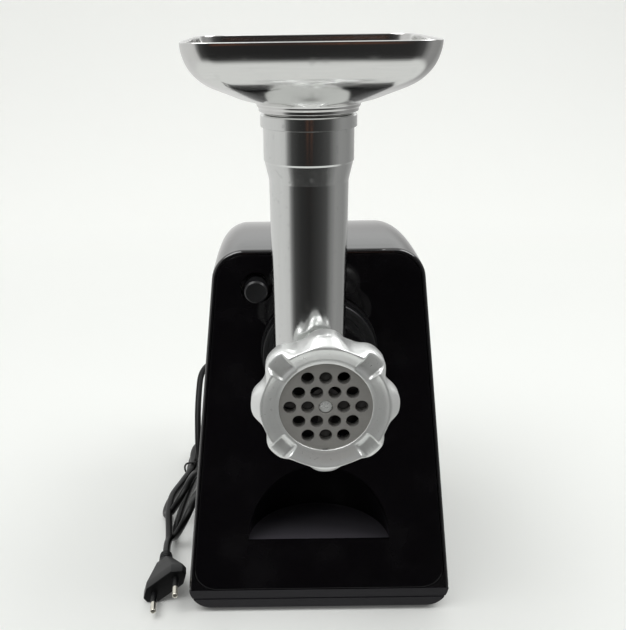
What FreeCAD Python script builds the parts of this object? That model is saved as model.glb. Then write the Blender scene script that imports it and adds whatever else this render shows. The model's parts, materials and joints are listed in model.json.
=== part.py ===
import FreeCAD, Part
import math
import os

V = FreeCAD.Vector
AX, AY, AZ = V(1, 0, 0), V(0, 1, 0), V(0, 0, 1)
os.makedirs("parts", exist_ok=True)

# Electric meat grinder. Millimetres, +Z up, the machine faces -Y.
# The origin is under the middle of the machine, cord left out, on the table.

# ---- driving dimensions -------------------------------------------------
HEAD_Z = 193.0           # height of the auger axis
BODY_HALF_W = 90.6       # half width of the housing sides, carried down to the table
SIDE_LEAN = 6.15         # degrees each side leans inwards
BODY_TOP = 256.5
BODY_DEPTH = 200.0
NUT_TO_PANEL = 88.0      # ring nut's front face to the front panel
TRAY_OVERHANG = 11.0     # tray's front edge ahead of the ring nut
WALL = 2.5
FOOT_H = 3.5
SEAM_Z = 17.0            # top of the grey base
PLATE_R = 27.0           # grinding plate, the 54 mm size
PLATE_T = 5.0
PLATE_HOLE_R = 3.5
PLATE_PITCH = 9.54
THROAT_R = 18.5          # feed bore
THROAT_X = -7.2
THROAT_BACK = 45.0       # throat axis behind the nut's front face
TRAY_HALF_X = 62.0
TRAY_HALF_Y = 56.0
TRAY_RISE = 187.0        # tray rim above the auger axis
LIFT = 0.3               # clearance between curved faces of different bodies
RUN = 0.05               # radial running clearance
MESH_GAP = 0.14          # tooth thinning for backlash
CORD_D = 5.6

TOTAL_D = TRAY_OVERHANG + NUT_TO_PANEL + BODY_DEPTH
NUT_Y = -TOTAL_D / 2 + TRAY_OVERHANG
PANEL_Y = NUT_Y + NUT_TO_PANEL
REAR_Y = PANEL_Y + BODY_DEPTH
THROAT_Y = NUT_Y + THROAT_BACK


# ---- helpers ------------------------------------------------------------
def cyl_y(r, y0, y1, x=0.0, z=HEAD_Z):
    return Part.makeCylinder(r, y1 - y0, V(x, y0, z), AY)


def ring_y(ro, ri, y0, y1, x=0.0, z=HEAD_Z):
    return cyl_y(ro, y0, y1, x, z).cut(cyl_y(ri, y0 - 1, y1 + 1, x, z))


def cyl_z(r, z0, z1, x=0.0, y=0.0):
    return Part.makeCylinder(r, z1 - z0, V(x, y, z0), AZ)


def box(x0, x1, y0, y1, z0, z1):
    return Part.makeBox(x1 - x0, y1 - y0, z1 - z0, V(x0, y0, z0))


def prism_y(pts, y0, y1):
    loop = [V(x, y0, z) for x, z in pts]
    return Part.Face(Part.makePolygon(loop + loop[:1])).extrude(V(0, y1 - y0, 0))


def prism_x(pts, x0, x1):
    loop = [V(x0, y, z) for y, z in pts]
    return Part.Face(Part.makePolygon(loop + loop[:1])).extrude(V(x1 - x0, 0, 0))


def turned_y(pts, x=0.0, z=HEAD_Z):
    """Solid of revolution about a Y axis from (radius, y) points."""
    loop = [V(x + r, y, z) for r, y in pts]
    return Part.Face(Part.makePolygon(loop + loop[:1])).revolve(V(x, 0, z), AY, 360)


def turned_z(pts, x, y):
    """Solid of revolution about a Z axis from (radius, z) points."""
    loop = [V(x + r, y, z) for r, z in pts]
    return Part.Face(Part.makePolygon(loop + loop[:1])).revolve(V(x, y, 0), AZ, 360)


def sector_y(ro, ri, y0, y1, a0, a1):
    """Part of a ring about the auger axis, from angle a0 to a1 in the XZ plane."""
    loop = [V(r, y, 0) for r, y in ((ri, y0), (ro, y0), (ro, y1), (ri, y1))]
    s = Part.Face(Part.makePolygon(loop + loop[:1])).revolve(V(0, 0, 0), V(0, -1, 0), a1 - a0)
    s.rotate(V(0, 0, 0), V(0, -1, 0), a0)
    s.translate(V(0, 0, HEAD_Z))
    return s


def polar(r, a, x=0.0, z=HEAD_Z):
    return x + r * math.cos(math.radians(a)), z + r * math.sin(math.radians(a))


def joined(shapes):
    first = shapes[0]
    return first.fuse(shapes[1:]) if len(shapes) > 1 else first


def capsule_y(c0, r0, c1, r1, y0, y1):
    """Hull of two circles that stand one above the other, run along Y."""
    (x0, z0), (x1, z1) = c0, c1
    d = z0 - z1
    s = (r0 - r1) / d
    c = math.sqrt(1 - s * s)
    quad = [(x0 + r0 * c, z0 - r0 * s), (x1 + r1 * c, z1 - r1 * s),
            (x1 - r1 * c, z1 - r1 * s), (x0 - r0 * c, z0 - r0 * s)]
    return joined([cyl_y(r0, y0, y1, x0, z0), cyl_y(r1, y0, y1, x1, z1), prism_y(quad, y0, y1)])


def edges_where(shape, test):
    return [e for e in shape.Edges if test(e)]


def save(name, shape):
    shape = shape.removeSplitter()
    assert shape.isValid() and shape.Solids, name
    shape.exportStep("parts/" + name + ".step")
    b = shape.BoundBox
    print("%-18s %2d solid %9.0f mm3  x %.1f..%.1f  y %.1f..%.1f  z %.1f..%.1f" % (
        name, len(shape.Solids), shape.Volume, b.XMin, b.XMax, b.YMin, b.YMax, b.ZMin, b.ZMax))


# ---- housing ------------------------------------------------------------
TAN_LEAN = math.tan(math.radians(SIDE_LEAN))


def half_w(z):
    return BODY_HALF_W - z * TAN_LEAN


def outline_prism(inset, y0, y1, z0, z1, r_low, r_top):
    """Leaning-sided prism along Y with rounded lower and upper corners."""
    side = inset / math.cos(math.radians(SIDE_LEAN))
    pts = [(half_w(z0) - side, z0), (half_w(z1) - side, z1),
           (side - half_w(z1), z1), (side - half_w(z0), z0)]
    s = prism_y(pts, y0, y1)

    def along_y(e, z):
        a, b = e.Vertexes[0].Point, e.Vertexes[-1].Point
        return abs(a.z - z) < 0.01 and abs(b.z - z) < 0.01 and abs(a.x - b.x) < 0.01

    if r_top > 0:
        s = s.makeFillet(r_top, edges_where(s, lambda e: along_y(e, z1)))
    if r_low > 0:
        s = s.makeFillet(r_low, edges_where(s, lambda e: along_y(e, z0)))
    return s


TOP_R = 20.0
LOW_R = 15.0
BACK_R = 14.0
ROOF_FLAT = 11.0         # level part of the roof behind the panel
ROOF_ARC = 560.0         # radius of the long curve behind it


def body_solid(inset, y0):
    """The housing's outside, or its inside at the given inset."""
    y1 = REAR_Y - inset
    top = BODY_TOP - inset
    s = outline_prism(inset, y0, y1, FOOT_H + inset, top, LOW_R - inset, 0)
    knee, r = PANEL_Y + ROOF_FLAT, ROOF_ARC - inset
    on_arc = [V(-130, knee + r * math.sin(t), top - r + r * math.cos(t)) for t in (0.0, 0.2, 0.4)]
    sides = [V(-130, y0 - 5, top), on_arc[0], on_arc[2], V(-130, on_arc[2].y, -5), V(-130, y0 - 5, -5)]
    roof = Part.Wire([Part.makeLine(sides[0], sides[1]), Part.Arc(*on_arc).toShape(), Part.makeLine(sides[2], sides[3]),
                      Part.makeLine(sides[3], sides[4]), Part.makeLine(sides[4], sides[0])])
    s = s.common(Part.Face(roof).extrude(V(260, 0, 0)))
    s = s.makeFillet(TOP_R - inset, edges_where(s, lambda e: all(
        abs(v.Point.x) > 30 and v.Point.z > 150 for v in e.Vertexes) and e.BoundBox.YLength > 5))
    return s.makeFillet(BACK_R - inset, edges_where(
        s, lambda e: all(abs(v.Point.y - y1) < 0.01 for v in e.Vertexes)))


outer = body_solid(0.0, PANEL_Y)
inner = body_solid(WALL, PANEL_Y - 5)
above_seam = box(-120, 120, PANEL_Y - 1, REAR_Y + 1, SEAM_Z, BODY_TOP + 1)
below_seam = box(-120, 120, PANEL_Y - 1, REAR_Y + 1, 0, SEAM_Z)

shell = outer.common(above_seam)
shell = shell.makeFillet(2.2, edges_where(shell, lambda e: all(
    abs(v.Point.y - PANEL_Y) < 0.01 for v in e.Vertexes) and e.BoundBox.ZMax > SEAM_Z + 1))
shell = shell.cut(inner)
corners = outline_prism(WALL - 0.2, PANEL_Y + 0.4, PANEL_Y + 4.0, SEAM_Z, 45.0, 0, 0)
shell = shell.fuse(corners.cut(outline_prism(WALL, PANEL_Y - 1, PANEL_Y + 5, SEAM_Z + 0.1, 60.0, 15.0, 0)))

# switch on the right-hand side, square to the leaning wall
SWITCH_Y, SWITCH_Z = PANEL_Y + 101.0, 92.0
SWITCH_HALF_Y, SWITCH_HALF_Z = 7.0, 12.6


def on_side(s):
    """From the switch's own axes (X out of the wall) to its place on the side."""
    s = s.copy()
    s.rotate(V(0, 0, 0), AY, -SIDE_LEAN)
    s.translate(V(half_w(SWITCH_Z), SWITCH_Y, SWITCH_Z))
    return s


switch_hole = on_side(box(-6, 6, -SWITCH_HALF_Y - 2, SWITCH_HALF_Y + 2, -SWITCH_HALF_Z - 2, SWITCH_HALF_Z + 2))
shell = shell.cut(switch_hole)

CORD_EXIT_X, CORD_EXIT_Z = -50.0, 82.0
shell = shell.cut(cyl_y(6.0, REAR_Y - 6, REAR_Y + 1, CORD_EXIT_X, CORD_EXIT_Z))
VENT_COUNT = 7
for i in range(VENT_COUNT):
    vx = (i - (VENT_COUNT - 1) / 2) * 8.0 + 14.0
    shell = shell.cut(box(vx - 1.6, vx + 1.6, REAR_Y - 6, REAR_Y + 1, 72, 112))
save("housing_shell", shell)

# front panel, set inside the shell's front edge
PANEL_T = 4.0
PANEL_LOW = SEAM_Z + 0.2
SOCKET_R = 36.0
SOCKET_TUBE_R = 34.0
BUTTON_X, BUTTON_Z = -38.0, 233.0
BUTTON_WELL_R = 9.8
ALCOVE_Z = 56.0          # recess floor
ALCOVE_R = 47.0          # half width and depth of the recess
ALCOVE_H = 55.5          # its height


def alcove(grow, y_cut):
    """Quarter of an egg shape behind the panel, standing on the recess floor."""
    a, h = ALCOVE_R + grow, ALCOVE_H + grow
    pts = [V(a * math.cos(t * math.pi / 24), 0, h * math.sin(t * math.pi / 24)) for t in range(13)]
    curve = Part.BSplineCurve()
    curve.interpolate(pts, InitialTangent=V(0, 0, 1), FinalTangent=V(-1, 0, 0))
    loop = Part.Wire([curve.toShape(), Part.makeLine(pts[-1], V(0, 0, 0)), Part.makeLine(V(0, 0, 0), pts[0])])
    s = Part.Face(loop).revolve(V(0, 0, 0), AZ, 360)
    s.translate(V(0, PANEL_Y, ALCOVE_Z))
    return s.common(box(-80, 80, y_cut, PANEL_Y + 90, ALCOVE_Z, ALCOVE_Z + 90))


panel = outline_prism(WALL + 0.1, PANEL_Y, PANEL_Y + PANEL_T, PANEL_LOW, BODY_TOP - WALL - 0.1, 15.0, TOP_R - WALL - 0.1)
panel = panel.makeFillet(1.2, edges_where(panel, lambda e: all(
    abs(v.Point.y - PANEL_Y) < 0.01 for v in e.Vertexes)))
panel = panel.cut(alcove(0.0, PANEL_Y - 1))
panel = panel.cut(alcove(WALL, PANEL_Y + 2.0))
panel = panel.cut(box(-ALCOVE_R - WALL, ALCOVE_R + WALL, PANEL_Y + 2.0, PANEL_Y + 9, ALCOVE_Z - 3, ALCOVE_Z + 0.01))
panel = panel.cut(cyl_y(SOCKET_TUBE_R, PANEL_Y - 1, PANEL_Y + 9))
panel = panel.cut(cyl_y(BUTTON_WELL_R, PANEL_Y - 1, PANEL_Y + 9, BUTTON_X, BUTTON_Z))
save("front_panel", panel)

liner = alcove(WALL, PANEL_Y + 2.0).cut(alcove(0.0, PANEL_Y))
save("recess_liner", liner)
floor = Part.makeCylinder(ALCOVE_R + WALL, 3.0, V(0, PANEL_Y, ALCOVE_Z - 3.0), AZ)
floor = floor.common(box(-80, 80, PANEL_Y + 2.0, PANEL_Y + 90, 0, 99))
save("recess_floor", floor)

# base
base = outer.common(below_seam)
base_in = body_solid(WALL, PANEL_Y + WALL).common(below_seam)
base = base.cut(base_in)
groove = outer.cut(body_solid(0.6, PANEL_Y + 0.6)).common(box(-120, 120, -200, 200, 10.0, 11.0))
base = base.cut(groove)
FOOT_X, FOOT_FRONT, FOOT_BACK = 70.0, PANEL_Y + 16.0, REAR_Y - 20.0
FEET = [(sx * FOOT_X, fy) for sx in (-1, 1) for fy in (FOOT_FRONT, FOOT_BACK)]
SCREW_AT = [(sx * 52.0, fy) for sx in (-1, 1) for fy in (FOOT_FRONT + 6, FOOT_BACK - 6)]
for fx, fy in FEET:
    base = base.cut(cyl_z(3.5, 0, SEAM_Z, fx, fy))
for sx, sy in SCREW_AT:
    base = base.fuse(cyl_z(5.0, FOOT_H + 1, SEAM_Z, sx, sy)).cut(cyl_z(2.0, 0, SEAM_Z + 1, sx, sy))
    base = base.cut(cyl_z(3.6, 0, FOOT_H + 2.2, sx, sy))
for i in range(6):
    by = 25.0 + i * 9.0
    base = base.cut(box(-24, 24, by, by + 3, 0, FOOT_H + WALL + 1))
save("base_plate", base)

feet = [turned_z([(0, 0), (5.5, 0), (6.3, 0.8), (6.3, FOOT_H), (3.5, FOOT_H),
                  (3.5, FOOT_H + WALL), (4.6, FOOT_H + WALL), (3.0, FOOT_H + WALL + 2), (0, FOOT_H + WALL + 2)],
                 fx, fy) for fx, fy in FEET]
save("rubber_feet", Part.makeCompound(feet))
screws = [turned_z([(0, FOOT_H + 0.4), (3.4, FOOT_H + 0.4), (3.4, FOOT_H + 2.2), (2.0, FOOT_H + 2.2),
                    (2.0, SEAM_Z - 1), (0, SEAM_Z)], sx, sy) for sx, sy in SCREW_AT]
save("base_screws", Part.makeCompound(screws))

# ---- bayonet socket and button -----------------------------------------
NECK_R = 27.2
SOCKET_FRONT = PANEL_Y - 3.5
SOCKET_BACK = PANEL_Y + 13.0
LUG_R = 30.5
LUG_Y0, LUG_Y1 = PANEL_Y + 7.0, PANEL_Y + 11.0
LUG_AT = (90.0, 210.0, 330.0)
LUG_SPAN = 30.0
HEAD_TURN = 40.0
PIN_ANGLE = math.degrees(math.atan2(BUTTON_Z - HEAD_Z, BUTTON_X))
PIN_RING = 31.0
PIN_R = 1.5

socket = joined([ring_y(SOCKET_TUBE_R, NECK_R + LIFT, PANEL_Y, SOCKET_BACK),
                 ring_y(SOCKET_R, NECK_R + LIFT, SOCKET_FRONT + 1.0, PANEL_Y),
                 ring_y(SOCKET_R, 34.2, SOCKET_FRONT, SOCKET_FRONT + 1.0),
                 ring_y(32.4, NECK_R + LIFT, SOCKET_FRONT, SOCKET_FRONT + 1.0)])
socket = socket.cut(ring_y(LUG_R + 0.5, NECK_R, LUG_Y0 - 0.4, LUG_Y1 + 0.4))
for a in LUG_AT:
    gate = a - HEAD_TURN
    socket = socket.cut(sector_y(LUG_R + 0.5, NECK_R, SOCKET_FRONT - 1, LUG_Y0,
                                 gate - LUG_SPAN / 2 - 2, gate + LUG_SPAN / 2 + 2))
px, pz = polar(PIN_RING, PIN_ANGLE)
socket = socket.cut(cyl_y(PIN_R + LIFT, SOCKET_FRONT - 1, SOCKET_BACK + 1, px, pz))
save("head_socket", socket)

BUTTON_TRAVEL = 5.0
WELL_BACK = PANEL_Y + 15.0
guide = ring_y(BUTTON_WELL_R + 2.2, BUTTON_WELL_R, PANEL_Y + PANEL_T, WELL_BACK - 3, BUTTON_X, BUTTON_Z)
guide = guide.fuse(ring_y(BUTTON_WELL_R + 2.2, 4.0 + RUN, WELL_BACK - 3, WELL_BACK, BUTTON_X, BUTTON_Z))
guide = guide.cut(cyl_y(SOCKET_TUBE_R + LIFT, PANEL_Y, WELL_BACK + 1))
save("button_guide", guide)

CAP_FRONT = PANEL_Y - 9.5
cap = turned_y([(0, CAP_FRONT), (6.0, CAP_FRONT), (7.0, CAP_FRONT + 1.0), (7.0, PANEL_Y + 2), (4.0, PANEL_Y + 2),
                (4.0, WELL_BACK + 4), (0, WELL_BACK + 4)], BUTTON_X, BUTTON_Z)
arm_y0 = WELL_BACK + LIFT
ux, uz = math.cos(math.radians(PIN_ANGLE)), math.sin(math.radians(PIN_ANGLE))
reach = math.hypot(BUTTON_X, BUTTON_Z - HEAD_Z)
arm = box(PIN_RING - 2.4, reach, arm_y0, arm_y0 + 3.5, -2.6, 2.6)
arm.rotate(V(0, 0, 0), V(0, -1, 0), PIN_ANGLE)
arm.translate(V(0, 0, HEAD_Z))
pin = cyl_y(PIN_R, SOCKET_FRONT - 2.0, arm_y0 + 1, px, pz)
save("release_button", joined([cap, arm, pin]))


def coil(r_mean, r_wire, length, turns):
    """Open coil spring about Z from 0 to length, lofted through six-sided sections of its wire."""
    steps = int(turns * 12)
    sections = []
    for i in range(steps + 1):
        c, s = math.cos(i * math.pi / 6), math.sin(i * math.pi / 6)
        ring = []
        for k in range(6):
            r = r_mean + r_wire * math.cos(k * math.pi / 3)
            ring.append(V(r * c, r * s, length * i / steps + r_wire * math.sin(k * math.pi / 3)))
        sections.append(Part.makePolygon(ring + ring[:1]))
    return Part.makeLoft(sections, True, False)


spring_len = WELL_BACK - 3 - (PANEL_Y + 2) - 1.4
spring = coil(5.6, 0.5, spring_len, 4.0)
spring.rotate(V(0, 0, 0), AX, -90)
spring.translate(V(BUTTON_X, PANEL_Y + 2 + 0.7, BUTTON_Z))
save("button_spring", spring)

# ---- grinding head ------------------------------------------------------
PLATE_Y0 = NUT_Y + 3.0
PLATE_Y1 = PLATE_Y0 + PLATE_T
BARREL_FRONT = PLATE_Y0 + 1.0
BARREL_R = 26.0
THREAD_R = 31.0
NUT_L = 20.0
FLANGE_Y1 = SOCKET_FRONT - LIFT
FLANGE_Y0 = FLANGE_Y1 - 5.0
NECK_BACK = LUG_Y1 + 1.0
SHANK_R = 9.0
BUSH_R = 12.0
TUBE_BASE = HEAD_Z + 14.0
CUP_Z = HEAD_Z + 124.0
TUBE_TOP = HEAD_Z + 149.0

barrel = turned_y([(0, BARREL_FRONT), (THREAD_R, BARREL_FRONT), (THREAD_R, NUT_Y + NUT_L + 1.5),
                   (THREAD_R + 1.5, NUT_Y + NUT_L + 2.5), (THREAD_R + 1.5, NUT_Y + NUT_L + 7),
                   (29.0, NUT_Y + NUT_L + 12), (28.8, FLANGE_Y0), (33.5, FLANGE_Y0),
                   (33.5, FLANGE_Y1), (NECK_R, FLANGE_Y1), (NECK_R, NECK_BACK), (0, NECK_BACK)])
tube = turned_z([(0, TUBE_BASE), (20.25, TUBE_BASE), (20.25, HEAD_Z + 25), (21.25, HEAD_Z + 114), (23.5, CUP_Z),
                 (24.0, CUP_Z + 1), (24.0, HEAD_Z + 142), (25.4, HEAD_Z + 142.6), (25.4, HEAD_Z + 148.4),
                 (24.8, TUBE_TOP), (0, TUBE_TOP)], THROAT_X, THROAT_Y)
head = barrel.fuse(tube)
for a in LUG_AT:
    head = head.fuse(sector_y(LUG_R, NECK_R - 1, LUG_Y0, LUG_Y1, a - LUG_SPAN / 2, a + LUG_SPAN / 2))
WORM_BACK = FLANGE_Y0 - 1.0
head = head.cut(cyl_y(BARREL_R, BARREL_FRONT - 1, WORM_BACK))
head = head.cut(cyl_y(PLATE_R + 0.1, BARREL_FRONT - 1, PLATE_Y1))
head = head.cut(cyl_y(BUSH_R, WORM_BACK - 1, NECK_BACK + 1))
head = head.cut(cyl_z(THROAT_R, HEAD_Z, TUBE_TOP + 1, THROAT_X, THROAT_Y))
SPIGOT_R = 21.4
head = head.cut(cyl_z(SPIGOT_R + RUN, CUP_Z + 1, TUBE_TOP + 1, THROAT_X, THROAT_Y))
head = head.cut(ring_y(NECK_R - 3.5, BUSH_R + 3.5, FLANGE_Y1 + 2, NECK_BACK + 1))
track = sector_y(PIN_RING + 2.0, PIN_RING - 2.0, FLANGE_Y1 - 2.6, FLANGE_Y1 + 1, PIN_ANGLE - 5, PIN_ANGLE + HEAD_TURN + 5)
head = head.cut(track)
THREADS = 4
for i in range(THREADS):
    ty = BARREL_FRONT + 3.0 + 3.0 * i
    head = head.cut(turned_y([(THREAD_R - 0.9, ty + 0.6), (THREAD_R + 1, ty - 0.5), (THREAD_R + 1, ty + 1.7)]))
KEY_R = 1.5
key = cyl_z(KEY_R, HEAD_Z - THREAD_R + 1.5, HEAD_Z - PLATE_R + 2.2, 0, BARREL_FRONT + 2.0)
head = head.fuse(key)
save("grinder_head", head)
ring = turned_y([(28.9, FLANGE_Y0 - 1.4), (34.1, FLANGE_Y0 - 1.4), (34.5, FLANGE_Y0 - 1.0), (34.5, FLANGE_Y1 - 0.4),
                 (33.5, FLANGE_Y1 - 0.4), (33.5, FLANGE_Y0), (28.9, FLANGE_Y0)])
ring = ring.cut(turned_y([(31.2, FLANGE_Y0 - 2), (32.2, FLANGE_Y0 - 2), (32.2, FLANGE_Y0 - 0.9), (31.2, FLANGE_Y0 - 0.9)]))
save("flange_ring", ring)
bush = ring_y(BUSH_R, SHANK_R + RUN, WORM_BACK, NECK_BACK)
save("auger_bush", bush)

# grinding plate: rows of 3-4-(2+2)-4-3 holes round the centre one
plate = cyl_y(PLATE_R, PLATE_Y0, PLATE_Y1)
TRUNNION_R = 3.8
ROW_H = PLATE_PITCH * math.sqrt(3) / 2
for row in range(-2, 3):
    for k in range(5 - abs(row)):
        hx = (k - (4 - abs(row)) / 2) * PLATE_PITCH
        if row == 0 and k == 2:
            continue
        plate = plate.cut(cyl_y(PLATE_HOLE_R, PLATE_Y0 - 1, PLATE_Y1 + 1, hx, HEAD_Z + row * ROW_H))
plate = plate.cut(cyl_y(TRUNNION_R + RUN, PLATE_Y0 - 1, PLATE_Y1 + 1))
plate = plate.cut(box(-KEY_R - 0.3, KEY_R + 0.3, PLATE_Y0 - 1, PLATE_Y1 + 1, HEAD_Z - PLATE_R - 1, HEAD_Z - PLATE_R + 2.5))
save("grinding_plate", plate)

# ring nut: eight lobes, four of them crossed by grooves in the face
NUT_TIP_R = 39.7
LOBE_R = 9.0
nut = cyl_y(35.0, NUT_Y, NUT_Y + NUT_L)
for i in range(8):
    lx, lz = polar(NUT_TIP_R - LOBE_R, 45.0 * i)
    nut = nut.fuse(cyl_y(LOBE_R, NUT_Y, NUT_Y + NUT_L, lx, lz))
nut = nut.common(turned_y([(0, NUT_Y), (34.2, NUT_Y), (NUT_TIP_R + 0.5, NUT_Y + 5.5), (NUT_TIP_R + 0.5, NUT_Y + 15.5),
                           (34.6, NUT_Y + NUT_L), (0, NUT_Y + NUT_L)]))
nut = nut.cut(turned_y([(0, NUT_Y - 1), (33.2, NUT_Y - 1), (32.6, NUT_Y + 0.6), (27.4, NUT_Y + 2.0), (25.0, NUT_Y + 2.0),
                        (25.0, PLATE_Y0), (PLATE_R + 0.4, PLATE_Y0), (PLATE_R + 0.4, BARREL_FRONT - 0.3),
                        (THREAD_R + LIFT, BARREL_FRONT - 0.3), (THREAD_R + LIFT, NUT_Y + NUT_L + 1), (0, NUT_Y + NUT_L + 1)]))
for i in range(4):
    slot = box(26.5, 44.0, NUT_Y - 1, NUT_Y + 3.4, -5.5, 5.5)
    slot.rotate(V(0, 0, 0), AY, 45.0 + 90.0 * i)
    slot.translate(V(0, 0, HEAD_Z))
    nut = nut.cut(slot)
save("ring_nut", nut)

# ---- auger and knife ----------------------------------------------------
KNIFE_Y0 = PLATE_Y1
KNIFE_T = 4.0
SQUARE = 8.0
HEX_AF = 12.0
HUB_FRONT = NECK_BACK + 1.0
HUB_R = 14.0
SHANK_BACK = HUB_FRONT
HEX_BACK = HUB_FRONT + 17.0
FLIGHT_FRONT = KNIFE_Y0 + KNIFE_T
FLIGHT_BACK = WORM_BACK - 0.5
FLIGHT_R = BARREL_R - 0.7
FLIGHT_PITCH = 23.0


def hex_y(af, y0, y1):
    pts = [polar(af / math.sqrt(3), 60.0 * i) for i in range(6)]
    return prism_y(pts, y0, y1)


def flight():
    run = FLIGHT_BACK - FLIGHT_FRONT
    path = Part.Wire(Part.makeHelix(FLIGHT_PITCH, run + 8, FLIGHT_R * 0.6))
    loop = [V(r, 0, h) for r, h in ((6.0, -3.0), (FLIGHT_R + 1, -1.5), (FLIGHT_R + 1, 1.5), (6.0, 3.0))]
    worm = path.makePipeShell([Part.makePolygon(loop + loop[:1])], True, True)
    worm.rotate(V(0, 0, 0), AX, 90)
    worm.translate(V(0, FLIGHT_BACK + 4, HEAD_Z))
    return worm.common(cyl_y(FLIGHT_R, FLIGHT_FRONT, FLIGHT_BACK))


core = turned_y([(0, PLATE_Y0 + 0.6), (TRUNNION_R - 0.6, PLATE_Y0 + 0.6), (TRUNNION_R, PLATE_Y0 + 1.4), (TRUNNION_R, KNIFE_Y0),
                 (4.0, KNIFE_Y0), (4.0, FLIGHT_FRONT), (8.5, FLIGHT_FRONT), (11.5, FLIGHT_BACK), (SHANK_R, FLIGHT_BACK),
                 (SHANK_R, SHANK_BACK), (0, SHANK_BACK)])
square = box(-SQUARE / 2, SQUARE / 2, KNIFE_Y0, FLIGHT_FRONT + 1, HEAD_Z - SQUARE / 2, HEAD_Z + SQUARE / 2)
collar = cyl_y(8.4, FLIGHT_FRONT, FLIGHT_FRONT + 2)
auger = core.fuse(square).fuse(collar).fuse(flight())
save("auger", auger.fuse(hex_y(HEX_AF, SHANK_BACK - 1, HEX_BACK)))

knife = cyl_y(9.0, KNIFE_Y0, FLIGHT_FRONT)
for i in range(4):
    blade = prism_y([(6, -3.6), (24.0, -4.6), (24.6, 1.5), (6, 3.8)], KNIFE_Y0, FLIGHT_FRONT)
    blade = blade.cut(prism_x([(KNIFE_Y0 + 1.4, -6), (FLIGHT_FRONT + 1, -6), (FLIGHT_FRONT + 1, -1)], 9.5, 30))
    blade.rotate(V(0, 0, 0), AY, 90.0 * i)
    blade.translate(V(0, 0, HEAD_Z))
    knife = knife.fuse(blade)
knife = knife.cut(box(-SQUARE / 2 - 0.1, SQUARE / 2 + 0.1, KNIFE_Y0 - 1, FLIGHT_FRONT + 1,
                      HEAD_Z - SQUARE / 2 - 0.1, HEAD_Z + SQUARE / 2 + 0.1))
save("knife", knife)

# ---- tray ---------------------------------------------------------------
TRAY_WALL = 1.5
TRAY_LOW = HEAD_Z + 152.6   # outside of the funnel at the tube
TRAY_RIM = HEAD_Z + TRAY_RISE


def rounded_wire(hx, hy, r, z):
    pts = [(hx - r, hy, 90), (-hx + r, hy, 180), (-hx, -hy + r, 270), (hx - r, -hy, 360)]
    edges = []
    for i, (cx, cy) in enumerate(((hx - r, hy - r), (-hx + r, hy - r), (-hx + r, -hy + r), (hx - r, -hy + r))):
        a0 = 90.0 * i
        arc = Part.ArcOfCircle(Part.Circle(V(THROAT_X + cx, THROAT_Y + cy, z), AZ, r),
                               math.radians(a0), math.radians(a0 + 90))
        edges.append(arc.toShape())
    wires = []
    for i in range(4):
        wires.append(edges[i])
        wires.append(Part.makeLine(edges[i].Vertexes[-1].Point, edges[(i + 1) % 4].Vertexes[0].Point))
    return Part.Wire(wires)


# the dish as outlines one below another: depth under the rim, how far in from the rim, corner radius
DISH = ((0.0, 0.0, 16.0), (5.0, 0.6, 16.0), (9.0, 1.7, 16.0), (12.5, 3.3, 15.6), (15.5, 5.4, 15.2), (18.2, 8.0, 15.2),
        (20.6, 11.2, 15.6), (22.6, 14.6, 16.6), (24.8, 19.2, 18.4), (28.2, 26.4, 22.0))


def dish(inset, z_top):
    """Sides that turn under in one long curve and run down to the tube as a shallow funnel."""
    wires = []
    for k, (down, inward, corner) in enumerate(DISH):
        before, after = DISH[max(k - 1, 0)], DISH[min(k + 1, len(DISH) - 1)]
        lean = math.atan2(after[1] - before[1], after[0] - before[0])
        into, up = inward + inset * math.cos(lean), inset * math.sin(lean)
        if z_top > TRAY_RIM and k == 0:
            wires.append(rounded_wire(TRAY_HALF_X - into, TRAY_HALF_Y - into, corner - inset, z_top))
        wires.append(rounded_wire(TRAY_HALF_X - into, TRAY_HALF_Y - into, corner - inset * math.cos(lean), TRAY_RIM - down + up))
    wires.append(rounded_wire(27.5 - inset, 27.5 - inset, 27.4 - inset, TRAY_LOW + inset))
    return Part.makeLoft(wires, True, True)


bowl = dish(0.0, TRAY_RIM)
hollow = dish(TRAY_WALL, TRAY_RIM + 1)
spigot = turned_z([(0, CUP_Z + 1.5), (SPIGOT_R - 0.8, CUP_Z + 1.5), (SPIGOT_R, CUP_Z + 2.3), (SPIGOT_R, TUBE_TOP),
                   (23.6, TUBE_TOP), (23.6, TUBE_TOP + 1), (26.25, TUBE_TOP + 1.4), (26.25, TUBE_TOP + 4),
                   (27.4, TUBE_TOP + 5.0), (0, TUBE_TOP + 5.0)], THROAT_X, THROAT_Y)
tray = bowl.fuse(spigot).cut(hollow)
tray = tray.cut(cyl_z(THROAT_R, CUP_Z, TRAY_RIM, THROAT_X, THROAT_Y))
save("tray", tray)

# ---- gear train ---------------------------------------------------------
PRESSURE = math.radians(20.0)


def involute(a):
    return math.tan(a) - a


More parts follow.
